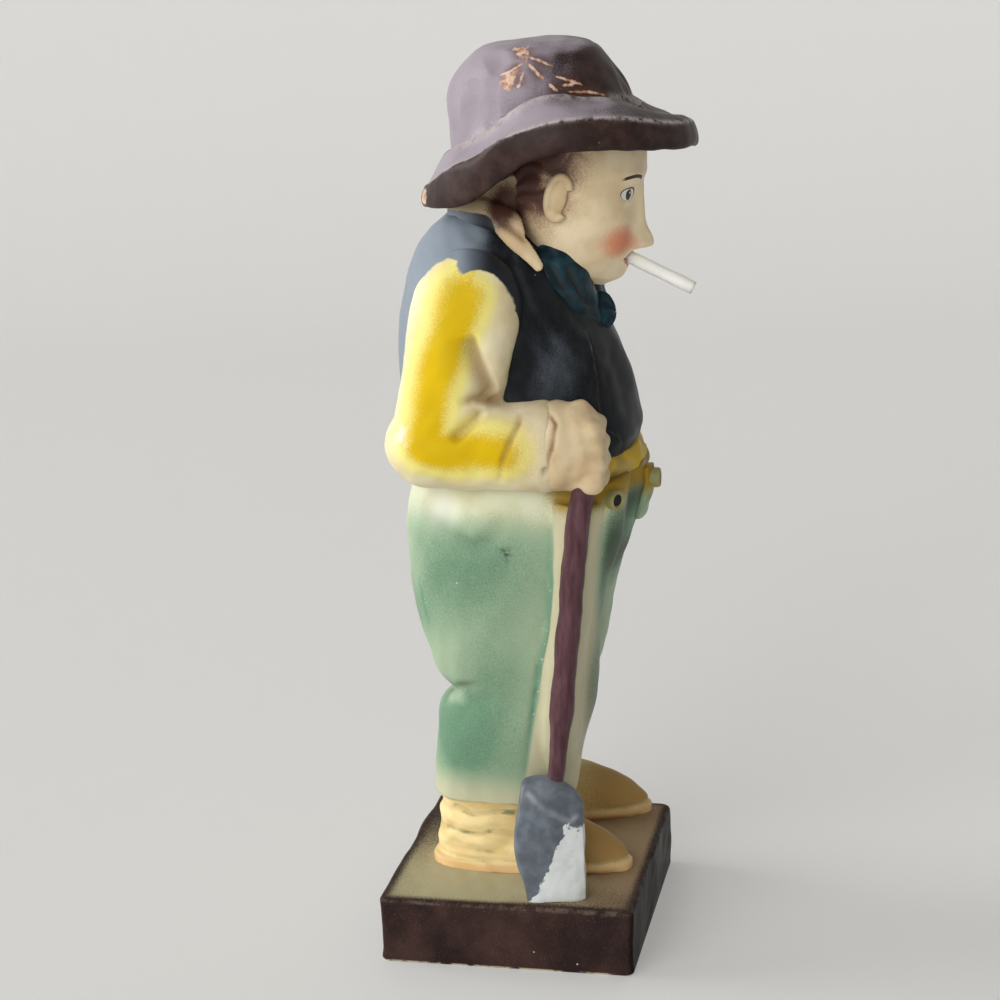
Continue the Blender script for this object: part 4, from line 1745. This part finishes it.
axe = Casting("axe_wedge", wedge_grid(), cube=0.5, rounds=8)
POLL_WAVE = [(0, -3.2), (0.15, -2.2), (0.4, 0.5), (0.6, 1.0), (0.78, -0.3), (1, 0)]
place = axe.points
share = (place[:, 2] - AXE[0, 2]) / (AXE[1, 2] - AXE[0, 2])
poll = step(place[:, 1], AXE[:, 1].mean() - 3, AXE[1, 1])
place[:, 1] += poll * smooth_rows(POLL_WAVE, np.clip(share, 0, 1))[:, 0]
axe.points = place
RIDGE_PIXELS = [(526, 791), (540, 806), (555, 815), (570, 821), (580, 814)]
BLADE_PIXELS = [(564, 836), (557, 848), (552, 862), (544, 878), (538, 894), (526, 903)]
ridge, blade_edge = axe.touch(RIDGE_PIXELS), axe.touch(BLADE_PIXELS)
axe.press(0.9 * fold(place, ridge, 1.8) + 0.3 * swell(place, 14, 93) + 0.1 * swell(place, 5, 94))
place = axe.points
edge_y = np.interp(place[:, 2], blade_edge[::-1, 2], blade_edge[::-1, 1])
top_gap = blade_edge[0, 2] + 2.5 - place[:, 2]
axe.mask("blade", 0.5 + np.minimum(0.25 * (edge_y - place[:, 1]), 0.09 * top_gap))
axe.mask("ridge", fold(place, ridge, 0.9, 0.1))
print("the painted blade covers", round(100 * np.mean(place[:, 1] < edge_y)), "% of the axe head")


# %% Axe paint
def axe_finish():
    """Slate grey with a blade of silver paint, rough where it was dabbed on."""
    finish = Finish("axe_paint")
    grey = finish.mottled("#50565e", "#6a727c", 6.0, 0.35, 0.7, 5.0, 0.6)
    grey = finish.coats(grey, ("#9aa0a6", "ridge", 0.9))
    silver = finish.mottled("#dde1df", "#c2c7c6", 4.0, 0.5, 0.75, 5.0, 0.7)
    colour = finish.brush(grey, silver, finish.mask("blade"), ragged=0.9, size=2.5)
    return aged(finish, colour, 0.42 - 0.1 * finish.mask("blade"), dirt=0.3, flecks=0.8, grain=0.1, gloss=0.5)


axe.done(axe_finish(), "axe_grey", "axe_head")

# %% [markdown]
# ## Floor and light
#
# A pale floor that sweeps up into a wall, as in a photographer's studio. The main light comes from behind
# the figure's back, a little above it, as in the photograph, and two weaker ones from the camera's side
# fill the shadows. All three are wide discs of sky, so that the light is even and its shadows are soft.
# Floor and air look paler to the camera than the light they give, which keeps the background plain and the
# figure's shading strong.

# %% Floor and wall
FLOOR_HALF, WALL_AT, WALL_HIGH, SWEEP = 2500.0, 900.0, 2400.0, 500.0


def sweep_grid(rings=80, across=3):
    """A floor that turns up into a wall: a level line, a quarter circle and an upright line, away from the
    camera."""
    away = unit(-BACK * [1, 1, 0])
    sideways = np.cross(away, [0, 0, 1])
    t = np.linspace(0, np.pi / 2, rings)
    run = np.concatenate([[-FLOOR_HALF], WALL_AT + SWEEP * np.sin(t), [WALL_AT + SWEEP]])
    rise = np.concatenate([[0], SWEEP * (1 - np.cos(t)), [WALL_HIGH]])
    line = run[:, None] * away + rise[:, None] * [0, 0, 1]
    return line[:, None] + np.linspace(-FLOOR_HALF, FLOOR_HALF, across)[None, :, None] * sideways


def shown(finish):
    """1 for rays that show a thing itself, straight or in a shine, and 0 for those that light others."""
    return sum(finish.node("LightPath", out=f"Is {ray} Ray") for ray in ("Camera", "Glossy", "Transmission"))


grid = sweep_grid()
rows, columns, _ = grid.shape
index = np.arange(rows * columns).reshape(rows, columns)
quads = np.stack([index[:-1, :-1], index[:-1, 1:], index[1:, 1:], index[1:, :-1]], -1).reshape(-1, 4)
floor_mesh = bpy.data.meshes.new("floor")
floor_mesh.from_pydata((grid.reshape(-1, 3) * METRES).tolist(), [], quads.tolist())
floor_mesh.shade_smooth()
floor = bpy.data.objects.new("floor", floor_mesh)
bpy.context.scene.collection.objects.link(floor)
floor_finish = Nodes("floor_paper")
FLOOR_PAINT, FLOOR_GLOW, FLOOR_SHARE = "#e8e7e4", 0.85, 0.33
matt = floor_finish.node("BsdfPrincipled", {}, {"Base Color": FLOOR_PAINT, "Roughness": 0.7})
pale = floor_finish.node("Emission", {}, {"Color": FLOOR_PAINT, "Strength": FLOOR_GLOW})
blend = floor_finish.node("MixShader", {}, {"Fac": FLOOR_SHARE * shown(floor_finish), 1: matt, 2: pale})
floor_finish.node("OutputMaterial", {}, {"Surface": blend})
floor_mesh.materials.append(floor_finish.material)
print("the floor reaches", WALL_AT, "mm behind the figure before it turns up")

# %% World
AIR_LIGHT, AIR_SHOWN = 0.17, 0.68
air = Nodes("air", bpy.data.worlds)
haze = {"Color": (1.0, 0.99, 0.97, 1.0), "Strength": AIR_LIGHT + (AIR_SHOWN - AIR_LIGHT) * shown(air)}
air.node("OutputWorld", {}, {"Surface": air.node("Background", {}, haze)})
bpy.context.scene.world = air.material
bpy.context.scene.view_settings.view_transform = "Standard"
print("the air lights with", AIR_LIGHT, "and shows as", AIR_SHOWN)


# %% Lights
def window(name, place, aim, spread, strength):
    """Soft light that is even over the whole floor: it comes from a disc of sky so many degrees across."""
    lamp = bpy.data.lights.new(name, "SUN")
    lamp.angle, lamp.energy = np.radians(spread), strength
    back = unit(np.asarray(place, float) - aim)
    level = unit(np.cross([0, 0, 1], back))
    stand(bpy.data.objects.new(name, lamp), level, np.cross(back, level), back, place)
    print(name, "shines from", place, "with", strength, "W per square metre")


window("window", (60.0, 1200.0, 600.0), TARGET, 36.0, 2.0)
window("room", (-910.0, 585.0, 800.0), TARGET, 43.0, 1.02)
window("fill", (-1200.0, 80.0, 560.0), TARGET, 37.0, 0.93)
